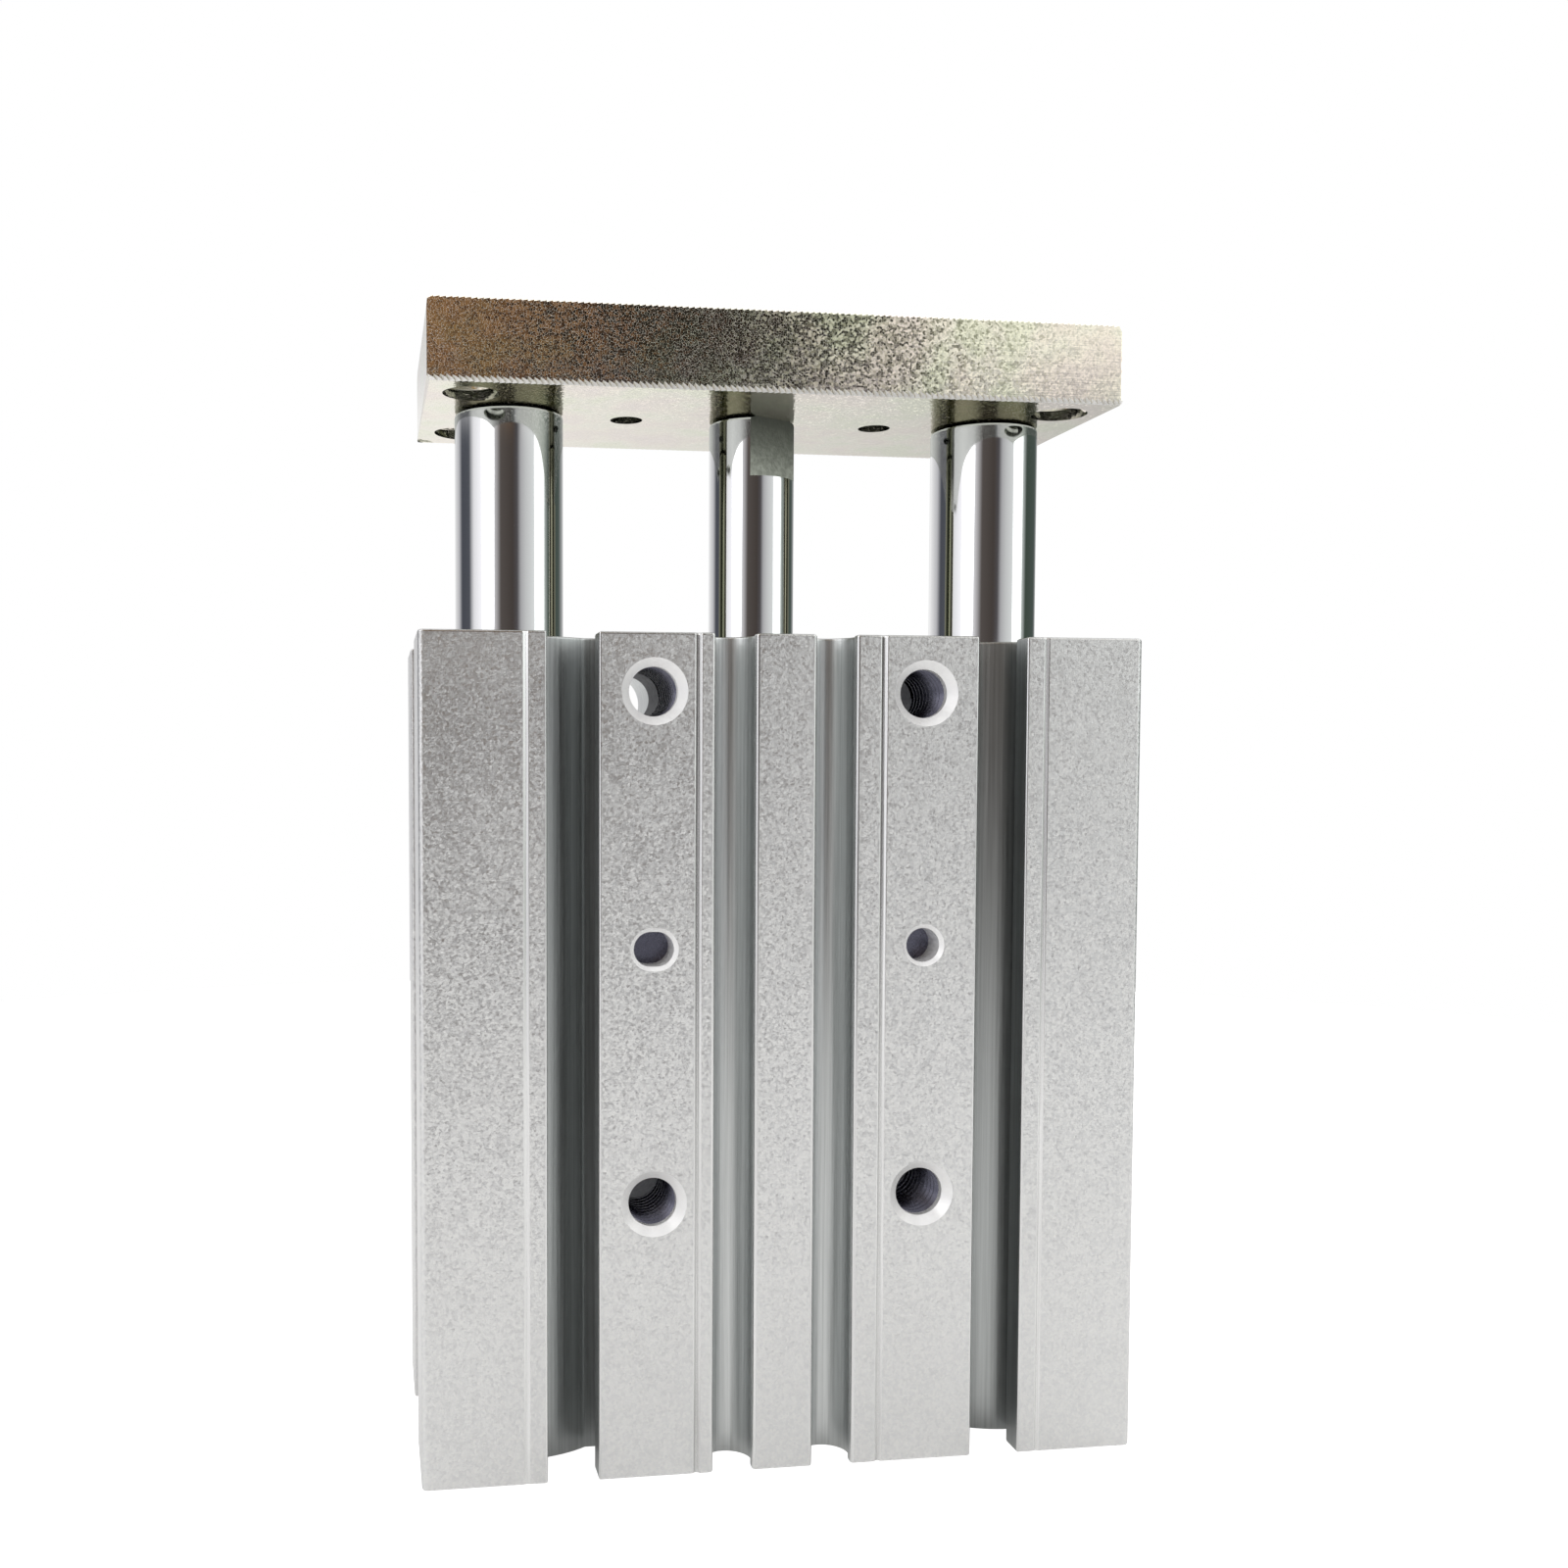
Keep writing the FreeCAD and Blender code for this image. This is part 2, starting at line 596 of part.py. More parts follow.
def o_ring(label, low):
    """An O-ring squeezed between its groove's floor and the bore, as a flattened section."""
    outer = f"({BORE})"
    height = "(Dims.o_ring_groove_width - Dims.o_ring_thickness) / 2"
    round_off = "(Dims.o_ring_thickness / 3)"
    bottom, top = f"({low} + {height})", f"({low} + {height} + Dims.o_ring_thickness)"
    turned(label, [(f"{O_RING_FLOOR} + {round_off}", bottom), (f"{outer} - {round_off}", bottom),
                   (outer, f"{bottom} + {round_off}"), (outer, f"{top} - {round_off}"),
                   (f"{outer} - {round_off}", top), (f"{O_RING_FLOOR} + {round_off}", top),
                   (O_RING_FLOOR, f"{top} - {round_off}"), (O_RING_FLOOR, f"{bottom} + {round_off}")])


def make_head_end():
    groove = f"({HEAD_COVER_Z} + Dims.o_ring_inset)"
    top = f"({HEAD_COVER_Z} + Dims.head_cover_length)"
    turned("head_cover", [("0", HEAD_COVER_Z), (f"{COVER} - Dims.cover_chamfer", HEAD_COVER_Z),
                          (COVER, f"{HEAD_COVER_Z} + Dims.cover_chamfer"), (COVER, groove),
                          (O_RING_FLOOR, groove), (O_RING_FLOOR, f"{groove} + Dims.o_ring_groove_width"),
                          (COVER, f"{groove} + Dims.o_ring_groove_width"),
                          (COVER, f"{top} - Dims.cover_chamfer"), (f"{COVER} - Dims.cover_chamfer", top),
                          ("0", top)])
    o_ring("head_cover_o_ring", groove)
    make_snap_ring("head_cover_snap_ring", f"({HEAD_COVER_Z} - Dims.snap_ring_thickness)")
    turned("rear_bumper", ring_outline("0", "(Dims.rear_bumper_diameter / 2)", REAR_STACK,
                                       f"({REAR_STACK} + Dims.bumper_length)"))


def lip_ring(label, inner, outer, low, high, moving=False):
    """A seal ring whose end is grooved into two lips."""
    lip, depth = "Dims.seal_lip_width", "Dims.seal_lip_depth"
    turned(label, [(inner, low), (outer, low), (outer, high), (f"{outer} - {lip}", high),
                   (f"({outer} + {inner}) / 2", f"{high} - {depth}"), (f"{inner} + {lip}", high),
                   (inner, high)], moving)


def make_rod_end():
    low, top = ROD_COVER_Z, FRONT_RING_Z
    bore = f"({PISTON_ROD} + Dims.rod_clearance)"
    seal_low = f"({low} + Dims.rod_seal_inset)"
    seal_high = f"({seal_low} + Dims.rod_seal_length)"
    seal_outer = "(Dims.rod_seal_outside_diameter / 2)"
    groove = f"({low} + Dims.o_ring_inset)"
    turned("rod_cover", [(bore, low), (f"{COVER} - Dims.cover_chamfer", low),
                         (COVER, f"{low} + Dims.cover_chamfer"), (COVER, groove), (O_RING_FLOOR, groove),
                         (O_RING_FLOOR, f"{groove} + Dims.o_ring_groove_width"),
                         (COVER, f"{groove} + Dims.o_ring_groove_width"),
                         (COVER, f"{top} - Dims.cover_chamfer"), (f"{COVER} - Dims.cover_chamfer", top),
                         (bore, top), (bore, seal_high), (seal_outer, seal_high), (seal_outer, seal_low),
                         (bore, seal_low)])
    o_ring("rod_cover_o_ring", groove)
    lip_ring("rod_seal", f"({PISTON_ROD} + Dims.seal_clearance)", seal_outer, seal_low, seal_high)
    make_snap_ring("rod_cover_snap_ring", FRONT_RING_Z)
    turned("front_bumper", ring_outline(f"({PISTON_ROD} + Dims.bumper_bore_clearance)",
                                        "(Dims.front_bumper_diameter / 2)",
                                        f"({ROD_COVER_Z} - Dims.bumper_length)", ROD_COVER_Z))


def make_guide_bearings():
    """Two plain bushes and a grease felt for each guide rod."""
    outer = GUIDE_BORE
    inner = f"({GUIDE_ROD} + Dims.guide_clearance)"
    front_high = f"({BODY_LENGTH} - Dims.front_bush_inset)"
    front_low = f"({front_high} - Dims.bush_length)"
    rear_low = "(Dims.guide_rod_inset + Dims.stroke + Dims.rear_bush_margin)"
    rear_high = f"({rear_low} + Dims.bush_length)"
    for side, x in (("left", f"-{GUIDE_X}"), ("right", GUIDE_X)):
        turned(f"front_guide_bush_{side}", ring_outline(inner, outer, front_low, front_high,
                                                        "Dims.bush_chamfer"), x=x)
        turned(f"rear_guide_bush_{side}", ring_outline(inner, outer, rear_low, rear_high,
                                                       "Dims.bush_chamfer"), x=x)
        turned(f"felt_ring_{side}", ring_outline(f"({GUIDE_ROD} + Dims.felt_clearance)", outer,
                                                 f"({front_low} - Dims.felt_length)", front_low), x=x)


def make_piston():
    """The piston on the rod's spigot, with its wear ring, magnet and seal in grooves."""
    outer = f"({BORE} - Dims.piston_clearance)"
    chamfer = "Dims.piston_chamfer"
    corners = [("Dims.piston_spigot_diameter / 2", PISTON_Z), (f"{outer} - {chamfer}", PISTON_Z),
               (outer, f"{PISTON_Z} + {chamfer}")]
    running = f"({BORE} - Dims.seal_clearance)"
    rings = (("wear_ring", "wear_ring", running), ("piston_magnet", "magnet", outer),
             ("piston_seal", "piston_seal", running))
    for label, size, outside in rings:
        low = f"({PISTON_Z} + Dims.{size}_inset)"
        high = f"({low} + Dims.{size}_width)"
        floor = f"({BORE} - Dims.{size}_thickness)"
        corners += [(outer, low), (floor, low), (floor, high), (outer, high)]
        if label == "piston_seal":
            lip_ring(label, floor, outside, low, high, moving=True)
        else:
            turned(label, ring_outline(floor, outside, low, high), moving=True)
    corners += [(outer, f"{PISTON_TOP} - {chamfer}"), (f"{outer} - {chamfer}", PISTON_TOP),
                ("Dims.piston_spigot_diameter / 2", PISTON_TOP)]
    turned("piston", corners, moving=True)


def tapped_end(radius, bolt, bolt_length, recess, chamfer):
    """Corners of a rod's plate end, going from its rim to the bottom of its tapped hole."""
    depth = f"({bolt_length} - Dims.plate_thickness + {recess} + Dims.bolt_end_room)"
    return [(radius, f"{PLATE_Z} - {chamfer}"), (f"{radius} - {chamfer}", PLATE_Z),
            (f"{bolt} / 2", PLATE_Z), (f"{bolt} / 2", f"{PLATE_Z} - {depth}"), ("0", f"{PLATE_Z} - {depth}")]


def make_rods():
    spigot = "(Dims.piston_spigot_diameter / 2)"
    end = tapped_end(PISTON_ROD, "Dims.rod_bolt_diameter", "Dims.rod_bolt_length",
                     "Dims.rod_bolt_recess", "Dims.rod_end_chamfer")
    rod = turned("piston_rod", [("0", PISTON_Z), (spigot, PISTON_Z), (spigot, PISTON_TOP),
                                (PISTON_ROD, PISTON_TOP)] + end, moving=True, turn="Dims.wrench_flat_angle")
    flats = new_sketch(rod, "wrench_flats", "XY_Plane", f"{PLATE_Z} - Dims.wrench_flat_length")
    for side in (-1, 1):
        near = f"{side} * Dims.wrench_flat_width / 2"
        far = f"{side} * ({PISTON_ROD} + Dims.cut_overrun)"
        low, high = (far, near) if side < 0 else (near, far)
        draw_rectangle(flats, f"-{PISTON_ROD} - Dims.cut_overrun", f"{PISTON_ROD} + Dims.cut_overrun",
                       low, high)
    pocket(rod, flats)
    bottom = "Dims.guide_rod_inset"
    chamfer = "Dims.guide_rod_chamfer"
    for side, x in (("left", f"-{GUIDE_X}"), ("right", GUIDE_X)):
        end = tapped_end(GUIDE_ROD, "Dims.guide_bolt_diameter", "Dims.guide_bolt_length",
                         "Dims.guide_bolt_recess", "Dims.rod_end_chamfer")
        turned(f"guide_rod_{side}", [("0", bottom), (f"{GUIDE_ROD} - {chamfer}", bottom),
                                     (GUIDE_ROD, f"{bottom} + {chamfer}")] + end, moving=True, x=x)


def make_end_plate():
    plate = new_body("end_plate", moving=True)
    outline = new_sketch(plate, "plate_outside", "XY_Plane", PLATE_Z)
    draw_rectangle(outline, f"-{PLATE_SIDE}", PLATE_SIDE, "-Dims.plate_depth / 2", "Dims.plate_depth / 2")
    block = pad(plate, outline, "Dims.plate_thickness")
    doc.recompute()
    edges = plate.newObject("PartDesign::Chamfer", "plate_edges")
    edges.Base = (block, edge_names(block.Shape, lambda edge: True))
    edges.setExpression("Size", "Dims.plate_edge_chamfer")
    threads = new_sketch(plate, "plate_threads", "XY_Plane", PLATE_TOP)
    corners = four_corners(f"2 * ({PLATE_SIDE} - Dims.plate_hole_inset_x)",
                           "(Dims.plate_depth - 2 * Dims.plate_hole_inset_y)")
    draw_circles(threads, corners, "Dims.plate_thread_diameter")
    drill(plate, threads, "Dims.plate_thread_diameter", countersink="Dims.plate_thread_countersink")
    dowels = new_sketch(plate, "plate_dowel_holes", "XY_Plane", PLATE_TOP)
    draw_circles(dowels, [("-Dims.plate_dowel_spacing / 2", "0"), ("Dims.plate_dowel_spacing / 2", "0")],
                 "Dims.plate_dowel_diameter")
    drill(plate, dowels, "Dims.plate_dowel_diameter")
    for name, centres in (("guide_bolt", [(f"-{GUIDE_X}", "0"), (GUIDE_X, "0")]),
                          ("rod_bolt", [("0", "0")])):
        holes = new_sketch(plate, f"{name}_holes", "XY_Plane", PLATE_TOP)
        draw_circles(holes, centres, f"Dims.{name}_diameter")
        drill(plate, holes, f"Dims.{name}_diameter",
              counterbore=(f"Dims.{name}_head_diameter + 2 * Dims.bolt_head_clearance",
                           f"Dims.{name}_recess"))


def make_bolt(label, name, x="0"):
    """A low head socket screw standing in its counterbore."""
    seat = f"({PLATE_TOP} - Dims.{name}_recess)"
    end = f"({seat} - Dims.{name}_length)"
    top = f"({seat} + Dims.{name}_head_height)"
    shank = f"(Dims.{name}_diameter / 2)"
    head = f"(Dims.{name}_head_diameter / 2)"
    chamfer = "Dims.bolt_head_chamfer"
    bolt = turned(label, [("0", end), (f"{shank} - {chamfer}", end), (shank, f"{end} + {chamfer}"),
                          (shank, seat), (head, seat), (head, f"{top} - {chamfer}"),
                          (f"{head} - {chamfer}", top), ("0", top)], moving=True, x=x)
    socket = new_sketch(bolt, f"{label}_socket", "XY_Plane", top)
    draw_hexagon(socket, f"Dims.{name}_socket")
    pocket(bolt, socket, "Dims.bolt_socket_depth", upwards=False)
    return bolt


def make_bolts():
    make_bolt("rod_bolt", "rod_bolt")
    pair = [make_bolt(f"guide_bolt_{side}", "guide_bolt", x)
            for side, x in (("left", f"-{GUIDE_X}"), ("right", GUIDE_X))]
    both = doc.addObject("Part::Compound", "guide_bolts")
    both.Links = pair
    for bolt in pair:
        nodes.remove(bolt)
    nodes.append(both)


def check_document():
    for item in doc.Objects:
        if "Invalid" in item.State or "Error" in item.State:
            raise RuntimeError(f"{item.Label} did not compute: {item.State}")
    for node in nodes:
        if node.Shape.isNull() or not node.Shape.isValid():
            raise RuntimeError(f"{node.Label} has no valid shape")


make_body_extrusion()
make_head_end()
make_rod_end()
make_guide_bearings()
make_piston()
make_rods()
make_end_plate()
make_bolts()
doc.recompute()
check_document()

os.makedirs("parts", exist_ok=True)
for node in nodes:
    node.Shape.exportStep(f"parts/{node.Label}.step")
    print(f"{node.Label}: {len(node.Shape.Solids)} solid(s), {node.Shape.Volume:.1f} mm3")
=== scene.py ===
import math
import random

import bmesh
import bpy
from mathutils import Matrix, Vector


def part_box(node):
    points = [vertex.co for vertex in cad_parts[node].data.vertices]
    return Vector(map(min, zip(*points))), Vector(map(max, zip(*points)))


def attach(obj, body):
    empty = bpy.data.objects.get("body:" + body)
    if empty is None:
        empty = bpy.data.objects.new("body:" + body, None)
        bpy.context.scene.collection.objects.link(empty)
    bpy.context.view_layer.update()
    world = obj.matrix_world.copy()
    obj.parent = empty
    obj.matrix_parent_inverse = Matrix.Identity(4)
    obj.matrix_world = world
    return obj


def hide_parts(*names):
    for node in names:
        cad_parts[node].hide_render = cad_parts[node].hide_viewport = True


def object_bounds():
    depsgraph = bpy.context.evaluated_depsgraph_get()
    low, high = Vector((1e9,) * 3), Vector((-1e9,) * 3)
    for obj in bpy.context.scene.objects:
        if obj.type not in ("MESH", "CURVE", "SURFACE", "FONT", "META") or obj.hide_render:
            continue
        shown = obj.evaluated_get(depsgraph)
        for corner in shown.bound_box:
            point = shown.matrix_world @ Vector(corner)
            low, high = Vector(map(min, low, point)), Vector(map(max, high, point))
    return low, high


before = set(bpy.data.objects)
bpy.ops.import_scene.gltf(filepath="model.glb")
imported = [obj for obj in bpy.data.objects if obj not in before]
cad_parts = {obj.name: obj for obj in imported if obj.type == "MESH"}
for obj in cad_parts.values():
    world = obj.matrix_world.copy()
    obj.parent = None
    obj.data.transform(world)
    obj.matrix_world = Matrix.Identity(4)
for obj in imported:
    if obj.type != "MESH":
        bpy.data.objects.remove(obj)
cadLow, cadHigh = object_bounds()
cadBox = [list(cadLow), list(cadHigh)]
bodyLow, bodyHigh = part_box("body_extrusion")
plateLow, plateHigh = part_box("end_plate")
mm = 0.001
standing = "cylinder_body"
moving = "moving_plate"
print("frame loaded:", len(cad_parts), "nodes")


# ---- camera, light and floor

camera = {
    "place": (-36.12, -144.61, 60.73),  # mm
    "turn": (87.16, 0.0, -8.32),  # degrees
    "lens": 35.58,
    "shift": (0.1207, 0.0446),
}


def makeCamera(spec):
    data = bpy.data.cameras.new("camera")
    data.lens = spec["lens"]
    data.sensor_width = 36
    data.shift_x, data.shift_y = spec["shift"]
    data.clip_start, data.clip_end = 0.005, 20
    eye = bpy.data.objects.new("camera", data)
    eye.location = Vector(spec["place"]) * mm
    eye.rotation_euler = [math.radians(a) for a in spec["turn"]]
    bpy.context.scene.collection.objects.link(eye)
    bpy.context.scene.camera = eye


def node(tree, kind, inputs=(), **settings):
    made = tree.nodes.new(kind)
    for name, setting in settings.items():
        setattr(made, name, setting)
    for key, source in dict(inputs).items():
        if isinstance(source, bpy.types.NodeSocket):
            tree.links.new(source, made.inputs[key])
        else:
            made.inputs[key].default_value = source
    return made


def maths(tree, operation, first, second=0.0, third=0.0):
    return node(tree, "ShaderNodeMath", {0: first, 1: second, 2: third}, operation=operation).outputs[0]


def ramp(tree, factor, stops):
    made = node(tree, "ShaderNodeValToRGB", {0: factor})
    points = made.color_ramp.elements
    points.remove(points[1])
    points[0].color = (*stops[0][1], 1)
    for place, colour in stops[1:]:
        points.new(place).color = (*colour, 1)
    return made.outputs[0]


def blendColours(tree, factor, first, second, way="MIX"):
    first = first if isinstance(first, bpy.types.NodeSocket) else (*first, 1)
    second = second if isinstance(second, bpy.types.NodeSocket) else (*second, 1)
    return node(tree, "ShaderNodeMix", {0: factor, 6: first, 7: second}, data_type="RGBA",
                blend_type=way).outputs[2]


# What stands round the object in the room, by the angle from straight ahead of the
# front face, in degrees to the right: bright windows and the darker things between
# them. The body mostly mirrors the lower row, the rods the middle one, the plate the
# upper one.
room = {
    "lower": [(-180, (0.95, 0.95, 0.95)), (-150, (0.66, 0.66, 0.67)), (-124, (0.18, 0.18, 0.2)),
              (-100, (0.18, 0.18, 0.2)), (-88, (0.8, 0.8, 0.82)), (-66, (1.0, 1.0, 1.02)),
              (-44, (0.8, 0.8, 0.82)), (-23, (0.12, 0.11, 0.11)), (0, (0.08, 0.075, 0.075)),
              (5, (0.15, 0.15, 0.16)), (10, (0.55, 0.55, 0.57)), (20, (0.68, 0.68, 0.68)),
              (56, (0.78, 0.8, 0.77)), (74, (0.5, 0.54, 0.5)), (86, (0.1, 0.12, 0.11)),
              (126, (0.12, 0.14, 0.13)), (146, (0.4, 0.41, 0.41)), (180, (0.95, 0.95, 0.95))],
    "middle": [(-180, (0.95, 0.95, 0.95)), (-150, (0.66, 0.66, 0.67)), (-138, (0.52, 0.52, 0.54)),
               (-124, (0.07, 0.075, 0.09)), (-98, (0.08, 0.085, 0.1)), (-85, (0.8, 0.8, 0.82)),
               (-66, (1.04, 1.04, 1.07)), (-44, (0.86, 0.86, 0.88)), (-34, (0.5, 0.49, 0.5)),
               (-23, (0.09, 0.078, 0.072)), (2, (0.06, 0.05, 0.045)), (12, (0.08, 0.075, 0.08)),
               (20, (0.42, 0.42, 0.43)), (30, (0.56, 0.57, 0.57)), (56, (0.8, 0.83, 0.82)),
               (74, (0.5, 0.54, 0.52)), (86, (0.05, 0.07, 0.055)), (126, (0.07, 0.09, 0.08)),
               (146, (0.38, 0.39, 0.39)), (180, (0.95, 0.95, 0.95))],
    "upper": [(-180, (0.7, 0.7, 0.7)), (-60, (0.9, 0.9, 0.9)), (-20, (0.28, 0.2, 0.13)),
              (-4, (0.3, 0.175, 0.085)), (3, (0.2, 0.115, 0.06)), (7, (0.09, 0.05, 0.028)),
              (9.5, (0.02, 0.014, 0.01)), (14, (0.014, 0.014, 0.012)), (16.5, (0.08, 0.08, 0.065)),
              (19, (0.44, 0.45, 0.38)), (22, (0.84, 0.84, 0.8)), (26, (1.05, 1.04, 1.0)),
              (60, (1.0, 1.0, 0.98)), (180, (0.7, 0.7, 0.7))],
    "middleFrom": (2, 5),  # degrees above the horizon
    "upperFrom": (12, 15),
    "below": (0.8, 0.8, 0.79),
    "belowFrom": (-26, -18),
    "above": (0.8, 0.8, 0.8),
    "aboveFrom": (34, 48),
    "zenith": (1.0, 1.0, 1.0),
    "zenithFrom": (52, 72),
}


def makeRoom(spec):
    world = bpy.data.worlds.new("room")
    bpy.context.scene.world = world
    world.use_nodes = True
    tree = world.node_tree
    tree.nodes.clear()
    way = node(tree, "ShaderNodeTexCoord").outputs["Generated"]
    parts = node(tree, "ShaderNodeSeparateXYZ", {0: way}).outputs
    angle = maths(tree, "ARCTAN2", parts[0], maths(tree, "MULTIPLY", parts[1], -1))
    place = maths(tree, "MULTIPLY_ADD", angle, 0.5 / math.pi, 0.5)

    def row(bands):
        return ramp(tree, place, [((degrees + 180) / 360, colour) for degrees, colour in bands])

    def rising(low, high):
        edges = [math.sin(math.radians(degrees)) for degrees in (low, high)]
        return node(tree, "ShaderNodeMapRange", {0: parts[2], 1: edges[0], 2: edges[1]},
                    interpolation_type="SMOOTHSTEP").outputs[0]

    view = blendColours(tree, rising(*spec["middleFrom"]), row(spec["lower"]), row(spec["middle"]))
    view = blendColours(tree, rising(*spec["upperFrom"]), view, row(spec["upper"]))
    view = blendColours(tree, rising(*spec["aboveFrom"]), view, spec["above"])
    view = blendColours(tree, rising(*spec["zenithFrom"]), view, spec["zenith"])
    view = blendColours(tree, rising(*spec["belowFrom"]), spec["below"], view)
    seen = node(tree, "ShaderNodeLightPath").outputs["Is Camera Ray"]
    shown = blendColours(tree, seen, view, (1, 1, 1))
    back = node(tree, "ShaderNodeBackground", {0: shown, 1: 1.0})
    out = node(tree, "ShaderNodeOutputWorld")
    tree.links.new(back.outputs[0], out.inputs[0])


lamps = {  # mm and watts
    "window_left": {"place": (-420, -330, 320), "size": (300, 420), "power": 0.4, "colour": (1, 1, 1)},
    "window_right": {"place": (470, -260, 260), "size": (260, 380), "power": 0.25, "colour": (0.97, 1, 0.98)},
    "ceiling": {"place": (0, 60, 620), "size": (420, 420), "power": 0.32, "colour": (1, 0.99, 0.97)},
}


def makeLamps(specs):
    middle = (Vector(cadBox[0]) + Vector(cadBox[1])) / 2
    for name, spec in specs.items():
        data = bpy.data.lights.new(name, "AREA")
        data.shape = "RECTANGLE"
        data.size, data.size_y = (side * mm for side in spec["size"])
        data.energy = spec["power"]
        data.color = spec["colour"]
        lamp = bpy.data.objects.new(name, data)
        lamp.location = Vector(spec["place"]) * mm
        lamp.rotation_euler = (middle - lamp.location).to_track_quat("-Z", "Y").to_euler()
        bpy.context.scene.collection.objects.link(lamp)


def meshFrom(work, name):
    mesh = bpy.data.meshes.new(name)
    work.to_mesh(mesh)
    work.free()
    return mesh


floorSheet = {
    "radius": 320,  # mm
    "gap": 0.02,  # mm below the object
    "colour": (0.86, 0.86, 0.85),
    "asSeen": 1.0,  # the camera finds it as white as the room behind it
    "inMirrors": 0.17,
}


def makeFloor(spec):
    work = bmesh.new()
    bmesh.ops.create_circle(work, cap_ends=True, segments=96, radius=spec["radius"] * mm)
    mesh = meshFrom(work, "floor")
    floor = bpy.data.objects.new("floor", mesh)
    bpy.context.scene.collection.objects.link(floor)
    floor.location.z = bodyLow.z - spec["gap"] * mm
    material = bpy.data.materials.new("paper")
    material.use_nodes = True
    tree = material.node_tree
    shader = tree.nodes["Principled BSDF"]
    shader.inputs["Base Color"].default_value = (*spec["colour"], 1)
    shader.inputs["Roughness"].default_value = 0.9
    shader.inputs["Emission Color"].default_value = (1, 1, 1, 1)
    rays = node(tree, "ShaderNodeLightPath").outputs
    mirrored = maths(tree, "MULTIPLY", rays["Is Glossy Ray"], spec["inMirrors"])
    glow = maths(tree, "MULTIPLY_ADD", rays["Is Camera Ray"], spec["asSeen"], mirrored)
    tree.links.new(glow, shader.inputs["Emission Strength"])
    mesh.materials.append(material)


makeCamera(camera)
makeRoom(room)
makeLamps(lamps)
makeFloor(floorSheet)
bpy.context.scene.view_settings.view_transform = "Standard"
print("camera, room and floor made")


# ---- shader groups that more than one finish uses

def newGroup(name, inputs, outputs):
    tree = bpy.data.node_groups.new(name, "ShaderNodeTree")
    for label, kind, value in inputs:
        socket = tree.interface.new_socket(label, in_out="INPUT", socket_type=kind)
        if value is not None:
            socket.default_value = value
    for label, kind in outputs:
        tree.interface.new_socket(label, in_out="OUTPUT", socket_type=kind)
    return tree, tree.nodes.new("NodeGroupInput"), tree.nodes.new("NodeGroupOutput")


def makeGrainGroup():
    # blasted or cast grain: a fine speckle on a slower unevenness
    tree, given, result = newGroup(
        "grain",
        [("Vector", "NodeSocketVector", None), ("Size", "NodeSocketFloat", 0.2),
         ("Patch Size", "NodeSocketFloat", 8.0)],
        [("Speckle", "NodeSocketFloat"), ("Patches", "NodeSocketFloat")])
    fine = node(tree, "ShaderNodeTexNoise",
                {"Vector": given.outputs[0], "Scale": maths(tree, "DIVIDE", 1000.0, given.outputs[1]),
                 "Detail": 2.0, "Roughness": 0.6})
    slow = node(tree, "ShaderNodeTexNoise",
                {"Vector": given.outputs[0], "Scale": maths(tree, "DIVIDE", 1000.0, given.outputs[2]),
                 "Detail": 2.0, "Roughness": 0.5})
    tree.links.new(fine.outputs[0], result.inputs[0])
    tree.links.new(slow.outputs[0], result.inputs[1])
    return tree


def makeToolLineGroup():
    # lines left by a tool or a die, drawn out along one axis by the Stretch vector
    tree, given, result = newGroup(
        "toolLines",
        [("Vector", "NodeSocketVector", None), ("Stretch", "NodeSocketVector", (1, 1, 0.02)),
         ("Width", "NodeSocketFloat", 0.1)],
        [("Lines", "NodeSocketFloat")])
    drawn = node(tree, "ShaderNodeVectorMath", {0: given.outputs[0], 1: given.outputs[1]},
                 operation="MULTIPLY")
    lines = node(tree, "ShaderNodeTexNoise",
                 {"Vector": drawn.outputs[0], "Scale": maths(tree, "DIVIDE", 1000.0, given.outputs[2]),
                  "Detail": 3.0, "Roughness": 0.65})
    tree.links.new(lines.outputs[0], result.inputs[0])
    return tree


def makeFacetGroup():
    # a surface broken into small facets that each lean their own way and have their own shade
    tree, given, result = newGroup(
        "facets",
        [("Vector", "NodeSocketVector", None), ("Size", "NodeSocketFloat", 0.2),
         ("Lean", "NodeSocketVector", (1, 1, 1))],
        [("Height", "NodeSocketFloat"), ("Shade", "NodeSocketFloat")])
    perMetre = maths(tree, "DIVIDE", 1000.0, given.outputs[1])
    cells = node(tree, "ShaderNodeTexVoronoi", {"Vector": given.outputs[0], "Scale": perMetre}).outputs
    lean = node(tree, "ShaderNodeVectorMath", {0: cells["Color"], 1: (0.5, 0.5, 0.5)}, operation="SUBTRACT")
    away = node(tree, "ShaderNodeVectorMath", {0: given.outputs[0], 1: cells["Position"]},
                operation="SUBTRACT")
    scaled = node(tree, "ShaderNodeVectorMath", {0: lean.outputs[0], 1: given.outputs[2]},
                  operation="MULTIPLY")
    slope = node(tree, "ShaderNodeVectorMath", {0: scaled.outputs[0], 1: away.outputs[0]},
                 operation="DOT_PRODUCT")
    tree.links.new(maths(tree, "MULTIPLY", slope.outputs["Value"], perMetre), result.inputs[0])
    shade = node(tree, "ShaderNodeSeparateXYZ", {0: cells["Color"]})
    tree.links.new(shade.outputs[2], result.inputs[1])
    return tree


grainGroup = makeGrainGroup()
toolLineGroup = makeToolLineGroup()
facetGroup = makeFacetGroup()


def placeGroup(tree, group, inputs):
    return node(tree, "ShaderNodeGroup", inputs, node_tree=group).outputs


